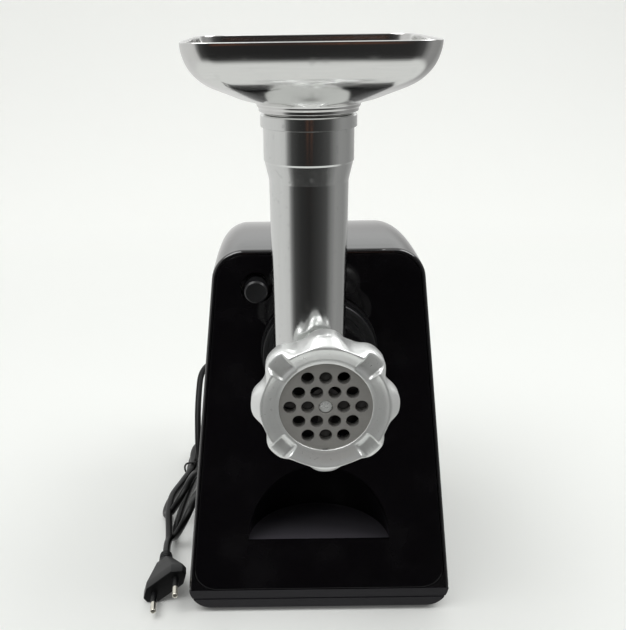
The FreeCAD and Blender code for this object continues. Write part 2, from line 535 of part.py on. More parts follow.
def gear(m, teeth, shift, y0, y1, x, z, tooth_at):
    """Spur gear about a Y axis with a tooth centred on the angle tooth_at."""
    rp = m * teeth / 2
    rb = rp * math.cos(PRESSURE)
    ra = rp + m * (0.94 + shift)
    rf = rp - m * (1.25 - shift)
    half = (m * (math.pi / 2 + 2 * shift * math.tan(PRESSURE)) - MESH_GAP) / (2 * rp)
    start = max(rb, rf)
    radii = [start + (ra - start) * i / 4 for i in range(5)]
    angs = [half + involute(PRESSURE) - involute(math.acos(min(1.0, rb / r))) for r in radii]

    def at(r, a):
        return V(r * math.cos(a), y0, r * math.sin(a))

    edges = []
    step = 2 * math.pi / teeth
    for t in range(teeth):
        c = math.radians(tooth_at) + t * step
        up = [at(r, c - a) for r, a in zip(radii, angs)]
        down = [at(r, c + a) for r, a in zip(radii, angs)][::-1]
        root0 = at(rf, c - angs[0])
        root1 = at(rf, c + angs[0])
        nxt = at(rf, c + step - angs[0])
        if rf < start - 1e-6:
            edges.append(Part.makeLine(root0, up[0]))
        for pts in (up, down):
            b = Part.BSplineCurve()
            b.interpolate(pts)
            if pts is down:
                edges.append(Part.Arc(up[-1], at(ra, c), down[0]).toShape())
            edges.append(b.toShape())
        if rf < start - 1e-6:
            edges.append(Part.makeLine(down[-1], root1))
        edges.append(Part.Arc(root1, at(rf, c + step / 2), nxt).toShape())
    s = Part.Face(Part.Wire(edges)).extrude(V(0, y1 - y0, 0))
    s.translate(V(x, 0, z))
    return s


M1, M2, M3 = 1.0, 1.25, 1.5
T_MOTOR, T_WHEEL1, T_PINION2, T_WHEEL2, T_PINION3, T_OUT = 10, 40, 12, 40, 12, 48
Z_GEAR2 = HEAD_Z - M3 * (T_PINION3 + T_OUT) / 2
Z_GEAR1 = Z_GEAR2 - M2 * (T_PINION2 + T_WHEEL2) / 2
Z_MOTOR = Z_GEAR1 - M1 * (T_MOTOR + T_WHEEL1) / 2
SHIFT3, SHIFT2, SHIFT1 = 0.4, 0.4, 0.45
G_Y = HUB_FRONT + 22.0   # front face of the output gear
GEAR_PIN_R = 4.0
CASE_WALL = 3.0
CASE_FRONT = G_Y - 6.0
STEP_Y = G_Y + 16.0
CASE_BACK = STEP_Y + 28.0

out_gear = gear(M3, T_OUT, -SHIFT3, G_Y, G_Y + 14, 0, HEAD_Z, -90.0)
hub = cyl_y(HUB_R, HUB_FRONT, G_Y + 1).fuse(cyl_y(8.0, G_Y + 13, STEP_Y + CASE_WALL))
out_gear = out_gear.fuse(hub).cut(hex_y(HEX_AF + 0.12, HUB_FRONT - 1, HEX_BACK + 0.5))
lighten = ring_y(29.5, 16.5, G_Y - 1, G_Y + 4).fuse(ring_y(29.5, 11.0, G_Y + 10, G_Y + 15))
save("output_gear", out_gear.cut(lighten))

gear_2 = gear(M3, T_PINION3, SHIFT3, G_Y - 1, STEP_Y, 0, Z_GEAR2, 90.0 + 180.0 / T_PINION3)
gear_2 = gear_2.fuse(gear(M2, T_WHEEL2, -SHIFT2, STEP_Y + 1, STEP_Y + 10, 0, Z_GEAR2, -90.0))
gear_2 = gear_2.fuse(cyl_y(7.4, STEP_Y - 1, STEP_Y + 2, 0, Z_GEAR2))
gear_2 = gear_2.cut(cyl_y(GEAR_PIN_R + RUN, 0 - 99, 99, 0, Z_GEAR2))
save("gear_2", gear_2)

gear_1 = gear(M2, T_PINION2, SHIFT2, STEP_Y + 0.5, STEP_Y + 11.5, 0, Z_GEAR1, 90.0 + 180.0 / T_PINION2)
gear_1 = gear_1.fuse(gear(M1, T_WHEEL1, -SHIFT1, STEP_Y + 14, STEP_Y + 21, 0, Z_GEAR1, -90.0))
gear_1 = gear_1.fuse(cyl_y(6.0, STEP_Y + 11, STEP_Y + 15, 0, Z_GEAR1))
gear_1 = gear_1.cut(cyl_y(GEAR_PIN_R + RUN, -99, 99, 0, Z_GEAR1))
save("gear_1", gear_1)

FRONT_TOP_R, FRONT_LOW_R = 41.0, 14.0
REAR_R2, REAR_R1, REAR_R0 = 29.5, 23.5, 10.0


def front_hull(grow, y0, y1):
    return capsule_y((0, HEAD_Z), FRONT_TOP_R + grow, (0, Z_GEAR2), FRONT_LOW_R + grow, y0, y1)


def rear_hull(grow, y0, y1):
    a = capsule_y((0, Z_GEAR2), REAR_R2 + grow, (0, Z_GEAR1), REAR_R1 + grow, y0, y1)
    b = capsule_y((0, Z_GEAR1), REAR_R1 + grow, (0, Z_MOTOR), REAR_R0 + grow, y0, y1)
    return a.fuse(b)


PIN_BACK = STEP_Y + 25.0
case = front_hull(CASE_WALL, CASE_FRONT + CASE_WALL, STEP_Y + CASE_WALL)
case = case.fuse(rear_hull(CASE_WALL, STEP_Y - CASE_WALL, CASE_BACK))
case = case.cut(front_hull(0, CASE_FRONT, STEP_Y).fuse(rear_hull(0, STEP_Y, CASE_BACK - CASE_WALL)))
case = case.fuse(ring_y(13.0, 8.0 + RUN, STEP_Y, STEP_Y + CASE_WALL + 3))
case = case.cut(cyl_y(8.0 + RUN, STEP_Y - 1, STEP_Y + CASE_WALL + 4))
case = case.cut(cyl_y(GEAR_PIN_R, STEP_Y - 9, CASE_BACK + 1, 0, Z_GEAR2))
case = case.cut(cyl_y(GEAR_PIN_R, STEP_Y - 9, CASE_BACK + 1, 0, Z_GEAR1))
case = case.cut(cyl_y(8.0, CASE_BACK - 9, CASE_BACK + 1, 0, Z_MOTOR))
COVER_SCREWS = [polar(FRONT_TOP_R + 4.5, a) for a in (20.0, 160.0, -30.0, 210.0)]
for sx, sz in COVER_SCREWS:
    case = case.fuse(cyl_y(4.5, CASE_FRONT + CASE_WALL, STEP_Y + CASE_WALL, sx, sz).cut(front_hull(0.5, CASE_FRONT, STEP_Y)))
    case = case.cut(cyl_y(1.6, CASE_FRONT, STEP_Y, sx, sz))
MOTOR_SCREWS = [(sx * 27.0, Z_MOTOR - 20.0) for sx in (-1, 1)]
ear_pts = [(-32, Z_MOTOR - 26), (32, Z_MOTOR - 26), (20, Z_GEAR1 - 8), (-20, Z_GEAR1 - 8)]
ear = prism_y(ear_pts, CASE_BACK - CASE_WALL, CASE_BACK).cut(rear_hull(0, STEP_Y, CASE_BACK - CASE_WALL + 0.01))
case = case.fuse(ear)
case = case.cut(cyl_y(8.0, CASE_BACK - 9, CASE_BACK + 1, 0, Z_MOTOR))
for sx, sz in MOTOR_SCREWS:
    case = case.cut(cyl_y(1.9, CASE_BACK - 9, CASE_BACK + 1, sx, sz))
save("gearbox_case", case)

cover = front_hull(CASE_WALL, CASE_FRONT, CASE_FRONT + CASE_WALL)
for sx, sz in COVER_SCREWS:
    cover = cover.fuse(cyl_y(4.5, CASE_FRONT, CASE_FRONT + CASE_WALL, sx, sz)).cut(cyl_y(1.9, CASE_FRONT - 1, CASE_FRONT + 4, sx, sz))
cover = cover.cut(cyl_y(17.0, CASE_FRONT - 1, CASE_FRONT + 4))
cover = cover.cut(cyl_y(GEAR_PIN_R, CASE_FRONT - 1, CASE_FRONT + 4, 0, Z_GEAR2))
save("gearbox_cover", cover)
bushing = ring_y(17.0, HUB_R + RUN, CASE_FRONT - 3, CASE_FRONT + CASE_WALL).fuse(
    ring_y(20.0, HUB_R + RUN, CASE_FRONT - 3, CASE_FRONT))
save("output_bushing", bushing)
screws = [turned_y([(0, CASE_FRONT - 2), (3.2, CASE_FRONT - 2), (3.2, CASE_FRONT), (1.6, CASE_FRONT),
                    (1.6, CASE_FRONT + 16), (0, CASE_FRONT + 16)], sx, sz) for sx, sz in COVER_SCREWS]
save("cover_screws", Part.makeCompound(screws))
pins = [cyl_y(GEAR_PIN_R, CASE_FRONT, CASE_BACK, 0, Z_GEAR2),
        cyl_y(GEAR_PIN_R, STEP_Y - CASE_WALL, CASE_BACK, 0, Z_GEAR1)]
save("gear_pins", Part.makeCompound(pins))

# ---- motor --------------------------------------------------------------
SHAFT_R = 4.0
ARM_R = 19.0
CORE_Y0 = CASE_BACK + 24.0
CORE_Y1 = CORE_Y0 + 34.0
FAN_Y0 = CASE_BACK + 6.0
COMM_Y0 = CORE_Y1 + 9.0
REAR_BRG_Y = COMM_Y0 + 20.0


def m_ring(ro, ri, y0, y1):
    return ring_y(ro, ri, y0, y1, 0, Z_MOTOR)


def m_cyl(r, y0, y1):
    return cyl_y(r, y0, y1, 0, Z_MOTOR)


shaft = m_cyl(SHAFT_R, STEP_Y + 13, REAR_BRG_Y + 7)
pinion = gear(M1, T_MOTOR, SHIFT1, STEP_Y + 13, STEP_Y + 22, 0, Z_MOTOR, 90.0 + 180.0 / T_MOTOR)
save("motor_shaft", shaft.fuse(pinion))
rotor = m_cyl(ARM_R, CORE_Y0, CORE_Y1)
for i in range(12):
    gx, gz = polar(ARM_R - 3.2, 30.0 * i + 15.0, 0, Z_MOTOR)
    rotor = rotor.cut(cyl_y(2.4, CORE_Y0 - 1, CORE_Y1 + 1, gx, gz))
rotor = joined([rotor, m_ring(14.5, 6, CORE_Y0 - 6, CORE_Y0), m_ring(14.5, 6, CORE_Y1, CORE_Y1 + 6)])
save("armature", rotor.cut(m_cyl(SHAFT_R, 0, 200)))
comm = m_ring(10.5, SHAFT_R, COMM_Y0, COMM_Y0 + 13)
for i in range(12):
    bar = box(9.4, 12, COMM_Y0 + 1.5, COMM_Y0 + 14, -0.3, 0.3)
    bar.rotate(V(0, 0, 0), AY, 30.0 * i)
    bar.translate(V(0, 0, Z_MOTOR))
    comm = comm.cut(bar)
save("commutator", comm)
fan = joined([m_ring(8, SHAFT_R, FAN_Y0, FAN_Y0 + 10), m_ring(27, SHAFT_R, FAN_Y0, FAN_Y0 + 1.6)])
for i in range(10):
    vane = box(7.5, 26.5, FAN_Y0 + 1, FAN_Y0 + 9, -0.8, 0.8)
    vane.rotate(V(7.5, 0, 0), AY, 18)
    vane.rotate(V(0, 0, 0), AY, 36.0 * i)
    vane.translate(V(0, 0, Z_MOTOR))
    fan = fan.fuse(vane)
save("cooling_fan", fan)

yoke = prism_y([(-33, Z_MOTOR - 28), (-25, Z_MOTOR - 36), (25, Z_MOTOR - 36), (33, Z_MOTOR - 28),
                (33, Z_MOTOR + 28), (25, Z_MOTOR + 36), (-25, Z_MOTOR + 36), (-33, Z_MOTOR + 28)], CORE_Y0, CORE_Y1)
yoke = yoke.cut(m_cyl(26.5, CORE_Y0 - 1, CORE_Y1 + 1))
for s in (-1, 1):
    pole = box(-11, 11, CORE_Y0, CORE_Y1, Z_MOTOR + min(s * 17, s * 30), Z_MOTOR + max(s * 17, s * 30))
    yoke = yoke.fuse(pole)
    shoe = m_ring(23.0, 18, CORE_Y0, CORE_Y1).common(
        box(-17, 17, CORE_Y0, CORE_Y1, Z_MOTOR + min(s * 8, s * 30), Z_MOTOR + max(s * 8, s * 30)))
    yoke = yoke.fuse(shoe)
yoke = yoke.cut(m_cyl(ARM_R + 0.6, CORE_Y0 - 1, CORE_Y1 + 1))
for sx, sz in MOTOR_SCREWS:
    yoke = yoke.cut(cyl_y(1.9, CORE_Y0 - 1, CORE_Y1 + 1, sx, sz))
save("stator_core", yoke)
coils = []
for s in (-1, 1):
    lo, hi = Z_MOTOR + min(s * 10, s * 30), Z_MOTOR + max(s * 10, s * 30)
    c = m_ring(26.3, 23.2, CORE_Y0 - 5, CORE_Y1 + 5).common(box(-22, 22, CORE_Y0 - 9, CORE_Y1 + 9, lo, hi))
    coils.append(c.cut(box(-11.1, 11.1, CORE_Y0 - 0.3, CORE_Y1 + 0.3, lo - 1, hi + 1)))
save("field_coils", Part.makeCompound(coils))

bracket = box(-33, 33, REAR_BRG_Y + 1, REAR_BRG_Y + 5, Z_MOTOR - 30, Z_MOTOR + 11)
bracket = bracket.fuse(m_cyl(12, REAR_BRG_Y - 1, REAR_BRG_Y + 5))
for s in (-1, 1):
    x0, x1 = sorted((s * 23.0, s * 32.5))
    bracket = bracket.fuse(box(x0, x1, CORE_Y1, REAR_BRG_Y + 1, Z_MOTOR - 26, Z_MOTOR - 16))
bracket = bracket.cut(m_cyl(8.0, REAR_BRG_Y - 2, REAR_BRG_Y + 9))
for sx, sz in MOTOR_SCREWS:
    bracket = bracket.cut(cyl_y(1.9, CORE_Y1 - 1, REAR_BRG_Y + 9, sx, sz))
save("motor_bracket", bracket)
bearings = [m_ring(8.0, SHAFT_R + RUN, CASE_BACK - CASE_WALL, CASE_BACK + 2), m_ring(8.0, SHAFT_R + RUN, REAR_BRG_Y, REAR_BRG_Y + 5)]
save("motor_bearings", Part.makeCompound(bearings))
bolts = [turned_y([(0, CASE_BACK - 5), (1.9, CASE_BACK - 5), (1.9, REAR_BRG_Y + 5), (3.4, REAR_BRG_Y + 5),
                   (3.4, REAR_BRG_Y + 7.5), (0, REAR_BRG_Y + 7.5)], sx, sz) for sx, sz in MOTOR_SCREWS]
save("motor_bolts", Part.makeCompound(bolts))
holders, brushes = [], []
for s in (-1, 1):
    x0, x1 = sorted((s * 13.0, s * 31.0))
    h = box(x0, x1, COMM_Y0 + 2, COMM_Y0 + 12, Z_MOTOR - 5, Z_MOTOR + 5)
    leg0, leg1 = sorted((s * 24.0, s * 31.0))
    h = h.fuse(box(leg0, leg1, COMM_Y0 + 2, COMM_Y0 + 12, Z_MOTOR - 16, Z_MOTOR - 4))
    h = h.cut(box(x0 - 1, x1 + 1, COMM_Y0 + 4, COMM_Y0 + 10, Z_MOTOR - 3, Z_MOTOR + 3))
    holders.append(h)
    b0, b1 = sorted((s * 10.8, s * 26.0))
    brushes.append(box(b0, b1, COMM_Y0 + 4.1, COMM_Y0 + 9.9, Z_MOTOR - 2.9, Z_MOTOR + 2.9))
save("brush_holders", Part.makeCompound(holders))
save("carbon_brushes", Part.makeCompound(brushes))

# ---- switch -------------------------------------------------------------
hy, hz = SWITCH_HALF_Y, SWITCH_HALF_Z
ROCKER_PIN_R, ROCKER_X = 1.2, -2.6
bezel = box(0, 1.4, -hy - 3.2, hy + 3.2, -hz - 3.2, hz + 3.2).fuse(box(-WALL - 2, 0, -hy - 1.9, hy + 1.9, -hz - 1.9, hz + 1.9))
bezel = bezel.cut(box(-WALL - 3, 2, -hy, hy, -hz, hz))
bezel = bezel.cut(Part.makeCylinder(ROCKER_PIN_R + RUN, 2 * hy + 2, V(ROCKER_X, -hy - 1, 0), AY))
save("switch_bezel", on_side(bezel))
body = box(-24, -WALL - 2, -hy - 1.9, hy + 1.9, -hz - 1.9, hz + 1.9).cut(box(-13, 0, -hy, hy, -hz, hz))
body = body.fuse(box(-30, -24, -3, 3, -9.5, -8.7)).fuse(box(-30, -24, -3, 3, -0.4, 0.4)).fuse(box(-30, -24, -3, 3, 8.7, 9.5))
save("switch_body", on_side(body))
rocker = prism_y([(-8, -4), (-8, 4), (-3.5, 8.5), (2.6, 11.3), (0.9, 3.0), (0.6, 0), (0.9, -3.0), (2.6, -11.3), (-3.5, -8.5)],
                 -hy + LIFT, hy - LIFT)
rocker = rocker.fuse(Part.makeCylinder(ROCKER_PIN_R, 2 * hy + 1.6, V(ROCKER_X, -hy - 0.8, 0), AY))
save("power_rocker", on_side(rocker))

# ---- control board ------------------------------------------------------
BOARD_Z = 21.0
board = box(-76, -38, 40, 100, BOARD_Z, BOARD_Z + 1.6)
posts = joined([box(x - 2, x + 2, y - 2, y + 2, FOOT_H + WALL, BOARD_Z) for x in (-72, -41) for y in (43, 97)])
cap_box = box(-72, -54, 48, 74, BOARD_Z + 1.6, BOARD_Z + 15)
relay = box(-51, -41, 48, 64, BOARD_Z + 1.6, BOARD_Z + 12)
terminals = box(-70, -44, 82, 92, BOARD_Z + 1.6, BOARD_Z + 10)
save("control_board", joined([board, posts, cap_box, relay, terminals]))

# ---- mains cord ---------------------------------------------------------
CORD_R = CORD_D / 2
relief = turned_y([(0, REAR_Y - 5), (7.6, REAR_Y - 5), (7.6, REAR_Y - WALL), (6.0, REAR_Y - WALL), (6.0, REAR_Y),
                   (7.6, REAR_Y), (7.6, REAR_Y + 2), (5.8, REAR_Y + 3), (4.2, REAR_Y + 22), (0, REAR_Y + 22)],
                  CORD_EXIT_X, CORD_EXIT_Z)
relief = relief.cut(cyl_y(CORD_R + RUN, REAR_Y - 9, REAR_Y + 30, CORD_EXIT_X, CORD_EXIT_Z))
save("strain_relief", relief)


def rounded_route(name, pts):
    """Straight runs joined by tangent arcs."""
    pts = [V(*p) for p in pts]
    edges = []
    at = pts[0]
    for a, b, c in zip(pts, pts[1:], pts[2:]):
        u, w = (b - a).normalize(), (c - b).normalize()
        turn = u.getAngle(w)
        back = 0.45 * min((b - a).Length, (c - b).Length)
        radius = back / math.tan(turn / 2)
        p0, p1 = b - u * back, b + w * back
        mid_dir = (w - u).normalize()
        centre_d = radius / math.cos(turn / 2)
        mid = b + mid_dir * (centre_d - radius)
        edges.append(Part.makeLine(at, p0))
        edges.append(Part.Arc(p0, mid, p1).toShape())
        at = p1
        print("%s bend %.0f deg, radius %.1f mm" % (name, math.degrees(turn), radius))
    edges.append(Part.makeLine(at, pts[-1]))
    return Part.Wire(edges)


def tube_on(route, r):
    a = route.Edges[0].Vertexes[0].Point
    d = (route.Edges[0].Vertexes[1].Point - a).normalize()
    return route.makePipeShell([Part.Wire([Part.makeCircle(r, a, d)])], True, True)


# flat two-pin plug, lying on the table rolled on to one corner
PLUG_X, PLUG_Z, PLUG_ROLL, PLUG_YAW = -106.8, 12.4, 36.3, 5.3
PLUG_FACE, PLUG_L = PANEL_Y + 11.6, 29.0
PIN_SPACING, PLUG_PIN_R, PLUG_PIN_L = 19.0, 2.0, 19.0
SLEEVE_L = 10.0          # insulated root of each pin

def along(*pts):
    """Route points given from the rear wall, as X, distance behind it and Z."""
    return [(x, REAR_Y + back, z) for x, back, z in pts]


HANK_X = -100.8
TIE_BACK, TIE_Z = -9.0, 7.6
lead = along((CORD_EXIT_X, 1.0, CORD_EXIT_Z), (CORD_EXIT_X, 63.0, CORD_EXIT_Z), (-98.5, 63.0, 80.0), (-101.0, 30.0, 52.0),
             (-100.0, 8.0, 25.5))
save("mains_cord", tube_on(rounded_route("mains_cord", lead), CORD_R))
tail = along((-110.9, -126.3, 9.6), (-111.6, -133.0, 10.8), (-110.4, -149.0, PLUG_Z), (-109.0, -164.0, PLUG_Z))
save("cord_tail", tube_on(rounded_route("cord_tail", tail), CORD_R))


def oval(back, x, z, rx, rz):
    pts = [V(x + rx * math.cos(math.radians(t)), REAR_Y + back, z + rz * math.sin(math.radians(t))) for t in range(0, 360, 30)]
    curve = Part.BSplineCurve()
    curve.interpolate(pts, PeriodicFlag=True)
    return Part.Wire([curve.toShape()])


# the put-away loops as one outer shape, narrow at the tie and fanned out in front: distance behind the wall,
# centre and half sizes
LOOPS = [(-126.0, -106.0, 14.5, 8.0, 10.0), (-114.0, -103.5, 18.3, 13.0, 17.5), (-90.0, -106.5, 18.0, 15.5, 17.2),
         (-70.0, -108.0, 16.2, 16.0, 15.4), (-42.0, -105.0, 12.0, 14.5, 11.2), (-16.0, HANK_X, TIE_Z, 9.4, 6.8),
         (-4.0, HANK_X, TIE_Z, 9.4, 6.8), (3.0, -97.5, 8.0, 12.5, 7.4), (16.0, -91.5, 8.4, 17.5, 7.8),
         (30.0, -91.0, 8.4, 13.0, 7.6), (38.0, -91.0, 8.4, 7.0, 5.0)]
save("cord_hank", Part.makeLoft([oval(*o) for o in LOOPS], True, False))
band = [Part.Face(oval(TIE_BACK - 3.0, HANK_X, TIE_Z, 9.4 + g, 6.8 + g)).extrude(V(0, 4.0, 0)) for g in (0.6, 0.02)]
tie = band[0].fuse(box(HANK_X - 3.5, HANK_X - 1.5, REAR_Y + TIE_BACK - 2, REAR_Y + TIE_BACK, TIE_Z + 6.5, TIE_Z + 13)).cut(band[1])
save("cord_tie", tie)

def plug_place(s):
    s.rotate(V(0, 0, 0), AY, -PLUG_ROLL)
    s.rotate(V(0, 0, 0), AZ, PLUG_YAW)
    s.translate(V(PLUG_X, PLUG_FACE, PLUG_Z))
    return s


def octagon(y, half, thick):
    loop = [V(half * u, y, thick * w) for u, w in ((1, 0.3), (0.64, 1), (-0.64, 1), (-1, 0.3), (-1, -0.3), (-0.64, -1),
                                                   (0.64, -1), (1, -0.3))]
    return Part.makePolygon(loop + loop[:1])


plug = Part.makeLoft([octagon(0, 16.8, 6.4), octagon(1.0, 17.4, 6.8), octagon(8.0, 17.4, 6.8),
                      octagon(PLUG_L - 3, 7.6, 5.0), octagon(PLUG_L - 1, 7.0, 4.8)], True, True)
plug = plug.fuse(Part.makeCone(5.0, 4.2, 10.6, V(0, PLUG_L - 1, 0), AY)).cut(Part.makeCylinder(CORD_R + RUN, 40, V(0, PLUG_L - 6, 0), AY))
pins = []
for s in (-1, 1):
    x = s * PIN_SPACING / 2
    plug = plug.fuse(Part.makeCylinder(PLUG_PIN_R + 0.1, SLEEVE_L + 1, V(x, -SLEEVE_L, 0), AY))
    plug = plug.cut(Part.makeCylinder(1.5, SLEEVE_L + 12, V(x, -SLEEVE_L - 1, 0), AY))
    p = Part.makeCylinder(PLUG_PIN_R, PLUG_PIN_L - SLEEVE_L, V(x, -PLUG_PIN_L, 0), AY)
    p = p.makeFillet(1.2, [e for e in p.Edges if abs(e.BoundBox.YMax + PLUG_PIN_L) < 0.01])
    pins.append(p.fuse(Part.makeCylinder(1.5, SLEEVE_L + 11.5, V(x, -SLEEVE_L - 0.5, 0), AY)))
save("plug_body", plug_place(plug))
save("plug_pins", plug_place(Part.makeCompound(pins)))
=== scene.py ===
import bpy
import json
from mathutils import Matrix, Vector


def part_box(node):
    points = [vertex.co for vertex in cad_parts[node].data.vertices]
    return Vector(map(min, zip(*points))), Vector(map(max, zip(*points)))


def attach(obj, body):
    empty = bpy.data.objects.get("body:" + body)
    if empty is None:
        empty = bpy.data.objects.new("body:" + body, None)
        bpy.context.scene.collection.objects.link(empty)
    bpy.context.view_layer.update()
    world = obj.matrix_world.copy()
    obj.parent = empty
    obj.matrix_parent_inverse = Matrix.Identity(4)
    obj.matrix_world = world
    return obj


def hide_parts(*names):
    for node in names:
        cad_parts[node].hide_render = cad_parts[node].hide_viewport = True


bl_info = {
    "name": "Electric meat grinder",
    "version": (1, 0, 0),
    "blender": (4, 5, 0),
    "location": "View3D > Sidebar > Grinder",
    "description": "Finishes, mains lead, plug and studio for an electric meat grinder",
    "category": "Object",
}

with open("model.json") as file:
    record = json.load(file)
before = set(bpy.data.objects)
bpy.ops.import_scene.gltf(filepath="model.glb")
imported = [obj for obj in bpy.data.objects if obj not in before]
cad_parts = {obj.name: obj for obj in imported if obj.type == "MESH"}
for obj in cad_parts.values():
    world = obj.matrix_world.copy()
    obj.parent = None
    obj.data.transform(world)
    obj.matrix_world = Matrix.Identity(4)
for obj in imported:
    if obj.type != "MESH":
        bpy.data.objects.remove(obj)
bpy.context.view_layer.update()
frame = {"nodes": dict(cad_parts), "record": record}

import json
import math

import bmesh
import bpy
from bpy.props import FloatProperty, FloatVectorProperty, PointerProperty
from mathutils import Matrix, Vector

NODES = frame["nodes"]
MM = 0.001
HEAD_Z = 0.193
NUT_FRONT = -0.1385
PIN_ROOT = -0.1312


# ---- shader arithmetic ---------------------------------------------------
class Amount:
    """A number that varies over a surface, with the usual operators."""

    def __init__(self, finish, socket):
        self.finish = finish
        self.socket = socket

    def math(self, operation, *others):
        values = {i: o for i, o in enumerate((self,) + others)}
        return self.finish.node("ShaderNodeMath", {"operation": operation}, values)[0]

    def flipped(self, operation, other):
        return self.finish.node("ShaderNodeMath", {"operation": operation}, {0: other, 1: self})[0]

    def __add__(self, other):
        return self.math("ADD", other)

    __radd__ = __add__

    def __mul__(self, other):
        return self.math("MULTIPLY", other)

    __rmul__ = __mul__

    def __sub__(self, other):
        return self.math("SUBTRACT", other)

    def __rsub__(self, other):
        return self.flipped("SUBTRACT", other)

    def __truediv__(self, other):
        return self.math("DIVIDE", other)

    def clamped(self):
        return self.math("MAXIMUM", 0.0).math("MINIMUM", 1.0)


class Finish:
    """One material and the nodes that make its surface."""

    def __init__(self, name):
        self.material = bpy.data.materials.new(name)
        self.material.use_nodes = True
        self.tree = self.material.node_tree
        self.surface = self.tree.nodes["Principled BSDF"]

    def node(self, kind, settings=None, values=None):
        """Adds a node, makes its settings, fills its sockets and returns its outputs."""
        made = self.tree.nodes.new(kind)
        for key, setting in (settings or {}).items():
            if key == "stops":
                ramp = made.color_ramp
                for stop, (place, colour) in zip(range(len(setting)), setting):
                    element = ramp.elements[stop] if stop < 2 else ramp.elements.new(place)
                    element.position = place
                    element.color = (*colour, 1.0)
            else:
                setattr(made, key, setting)
        for key, value in (values or {}).items():
            self.put(made.inputs[key], value)
        return [Amount(self, out) for out in made.outputs]

    def put(self, socket, value):
        if isinstance(value, Amount):
            self.tree.links.new(value.socket, socket)
        elif isinstance(value, (tuple, list)) and len(value) == 3 and len(socket.default_value) == 4:
            socket.default_value = (*value, 1.0)
        else:
            socket.default_value = value

    def spot(self):
        """The point on the object, in metres."""
        return self.node("ShaderNodeTexCoord")[3]

    def place(self, scale=(1.0, 1.0, 1.0)):
        """The point on the object, in metres, stretched by scale."""
        return self.node("ShaderNodeMapping", {}, {"Vector": self.spot(), "Scale": scale})[0]

    def axis(self, which):
        """The object's X, Y or Z, in metres."""
        return self.node("ShaderNodeSeparateXYZ", {}, {"Vector": self.spot()})[which]

    def noise(self, size, detail=2.0, stretch=(1.0, 1.0, 1.0), rough=0.5):
        """Noise from 0 to 1 whose patches are about size metres across."""
        scale = tuple(s / size for s in stretch)
        return self.node("ShaderNodeTexNoise", {}, {
            "Vector": self.place(scale), "Scale": 1.0, "Detail": detail, "Roughness": rough})[0]

    def between(self, factor, low, high):
        """A colour that runs from low to high."""
        mix = self.tree.nodes.new("ShaderNodeMix")
        mix.data_type = "RGBA"
        self.put(mix.inputs[0], factor)
        self.put(mix.inputs[6], low)
        self.put(mix.inputs[7], high)
        return Amount(self, mix.outputs[2])

    def step(self, value, low, high, out_low=0.0, out_high=1.0):
        return self.node("ShaderNodeMapRange", {"interpolation_type": "SMOOTHSTEP"}, {
            "Value": value, "From Min": low, "From Max": high, "To Min": out_low, "To Max": out_high})[0]

    def relief(self, height, depth, strength=1.0, under=None):
        """A Normal from a height between 0 and 1 that stands depth metres tall."""
        values = {"Height": height, "Distance": depth, "Strength": strength}
        if under is not None:
            values["Normal"] = under
        return self.node("ShaderNodeBump", {}, values)[0]

    def make(self, **sockets):
        for key, value in sockets.items():
            self.put(self.surface.inputs[key.replace("_", " ")], value)
        return self.material


# ---- finishes ------------------------------------------------------------
def gloss_plastic(name, colour, shine, ior, scuffs=0.03):
    """Moulded high-gloss plastic: a faint ripple, and a haze of dust and rubbing."""
    f = Finish(name)
    haze = f.step(f.noise(0.03, 3.0), 0.45, 0.8)
    specks = f.step(f.noise(0.0011, 1.0), 0.70, 0.78)
    base = f.between(haze * 0.25 + specks * 0.12, colour, tuple(c + 0.012 for c in colour))
    ripple = f.relief(f.noise(0.012, 1.0), 0.00004)
    return f.make(Base_Color=base, Roughness=shine + haze * scuffs + specks * 0.05, Normal=ripple, IOR=ior)


def satin_plastic(name, colour, rough=0.42, grain=0.0007, depth=0.00003, level=0.5):
    """Spark-eroded satin moulding."""
    f = Finish(name)
    patch = f.noise(0.02, 3.0)
    fine = f.noise(grain, 2.0)
    dark, pale = tuple(c * 0.85 for c in colour), tuple(c * 1.18 for c in colour)
    base = f.between(patch * 0.6 + fine * 0.4, dark, pale)
    return f.make(Base_Color=base, Roughness=rough + (patch - 0.5) * 0.12, Normal=f.relief(fine, depth),
                  Specular_IOR_Level=level)


def cast_aluminium(name, colour):
    """Tumbled and polished casting: soft dents, fine polishing marks, a little grey in the hollows."""
    f = Finish(name)
    lumps = f.noise(0.009, 2.0)
    marks = f.noise(0.0012, 3.0)
    pits = f.step(f.noise(0.0022, 2.0), 0.66, 0.76)
    wear = (lumps * 0.5 + marks * 0.3 + pits * 0.6).clamped()
    base = f.between(wear, colour, tuple(c * 0.80 for c in colour))
    rough = 0.21 + marks * 0.12 + lumps * 0.08 + pits * 0.15
    normal = f.relief(lumps, 0.00012, 0.8, f.relief(marks - pits * 0.6, 0.000015, 0.6))
    return f.make(Base_Color=base, Metallic=0.66, Roughness=rough, Normal=normal)


def polished_tube(name, colour):
    """Casting turned and polished lengthwise: fine upright lines, a faint wave and a few soft marks."""
    f = Finish(name)
    lines = f.noise(0.0009, 3.0, (1.0, 1.0, 0.03))
    wave = f.noise(0.02, 1.0, (1.0, 1.0, 0.4))
    marks = f.step(f.noise(0.004, 3.0), 0.60, 0.76)
    base = f.between((lines * 0.4 + marks * 0.5).clamped(), colour, tuple(c * 0.84 for c in colour))
    normal = f.relief(wave, 0.00012, 0.6, f.relief(lines, 0.000008, 0.5))
    # the barrel's front stays as it was tumbled
    tumbled = f.step(f.axis(2), HEAD_Z + 0.034, HEAD_Z + 0.022) * f.step(f.axis(1), -0.104, -0.114)
    rough = 0.10 + lines * 0.09 + marks * 0.10 + tumbled * 0.2
    return f.make(Base_Color=base, Metallic=1.0 - tumbled * 0.4, Roughness=rough, Normal=normal)


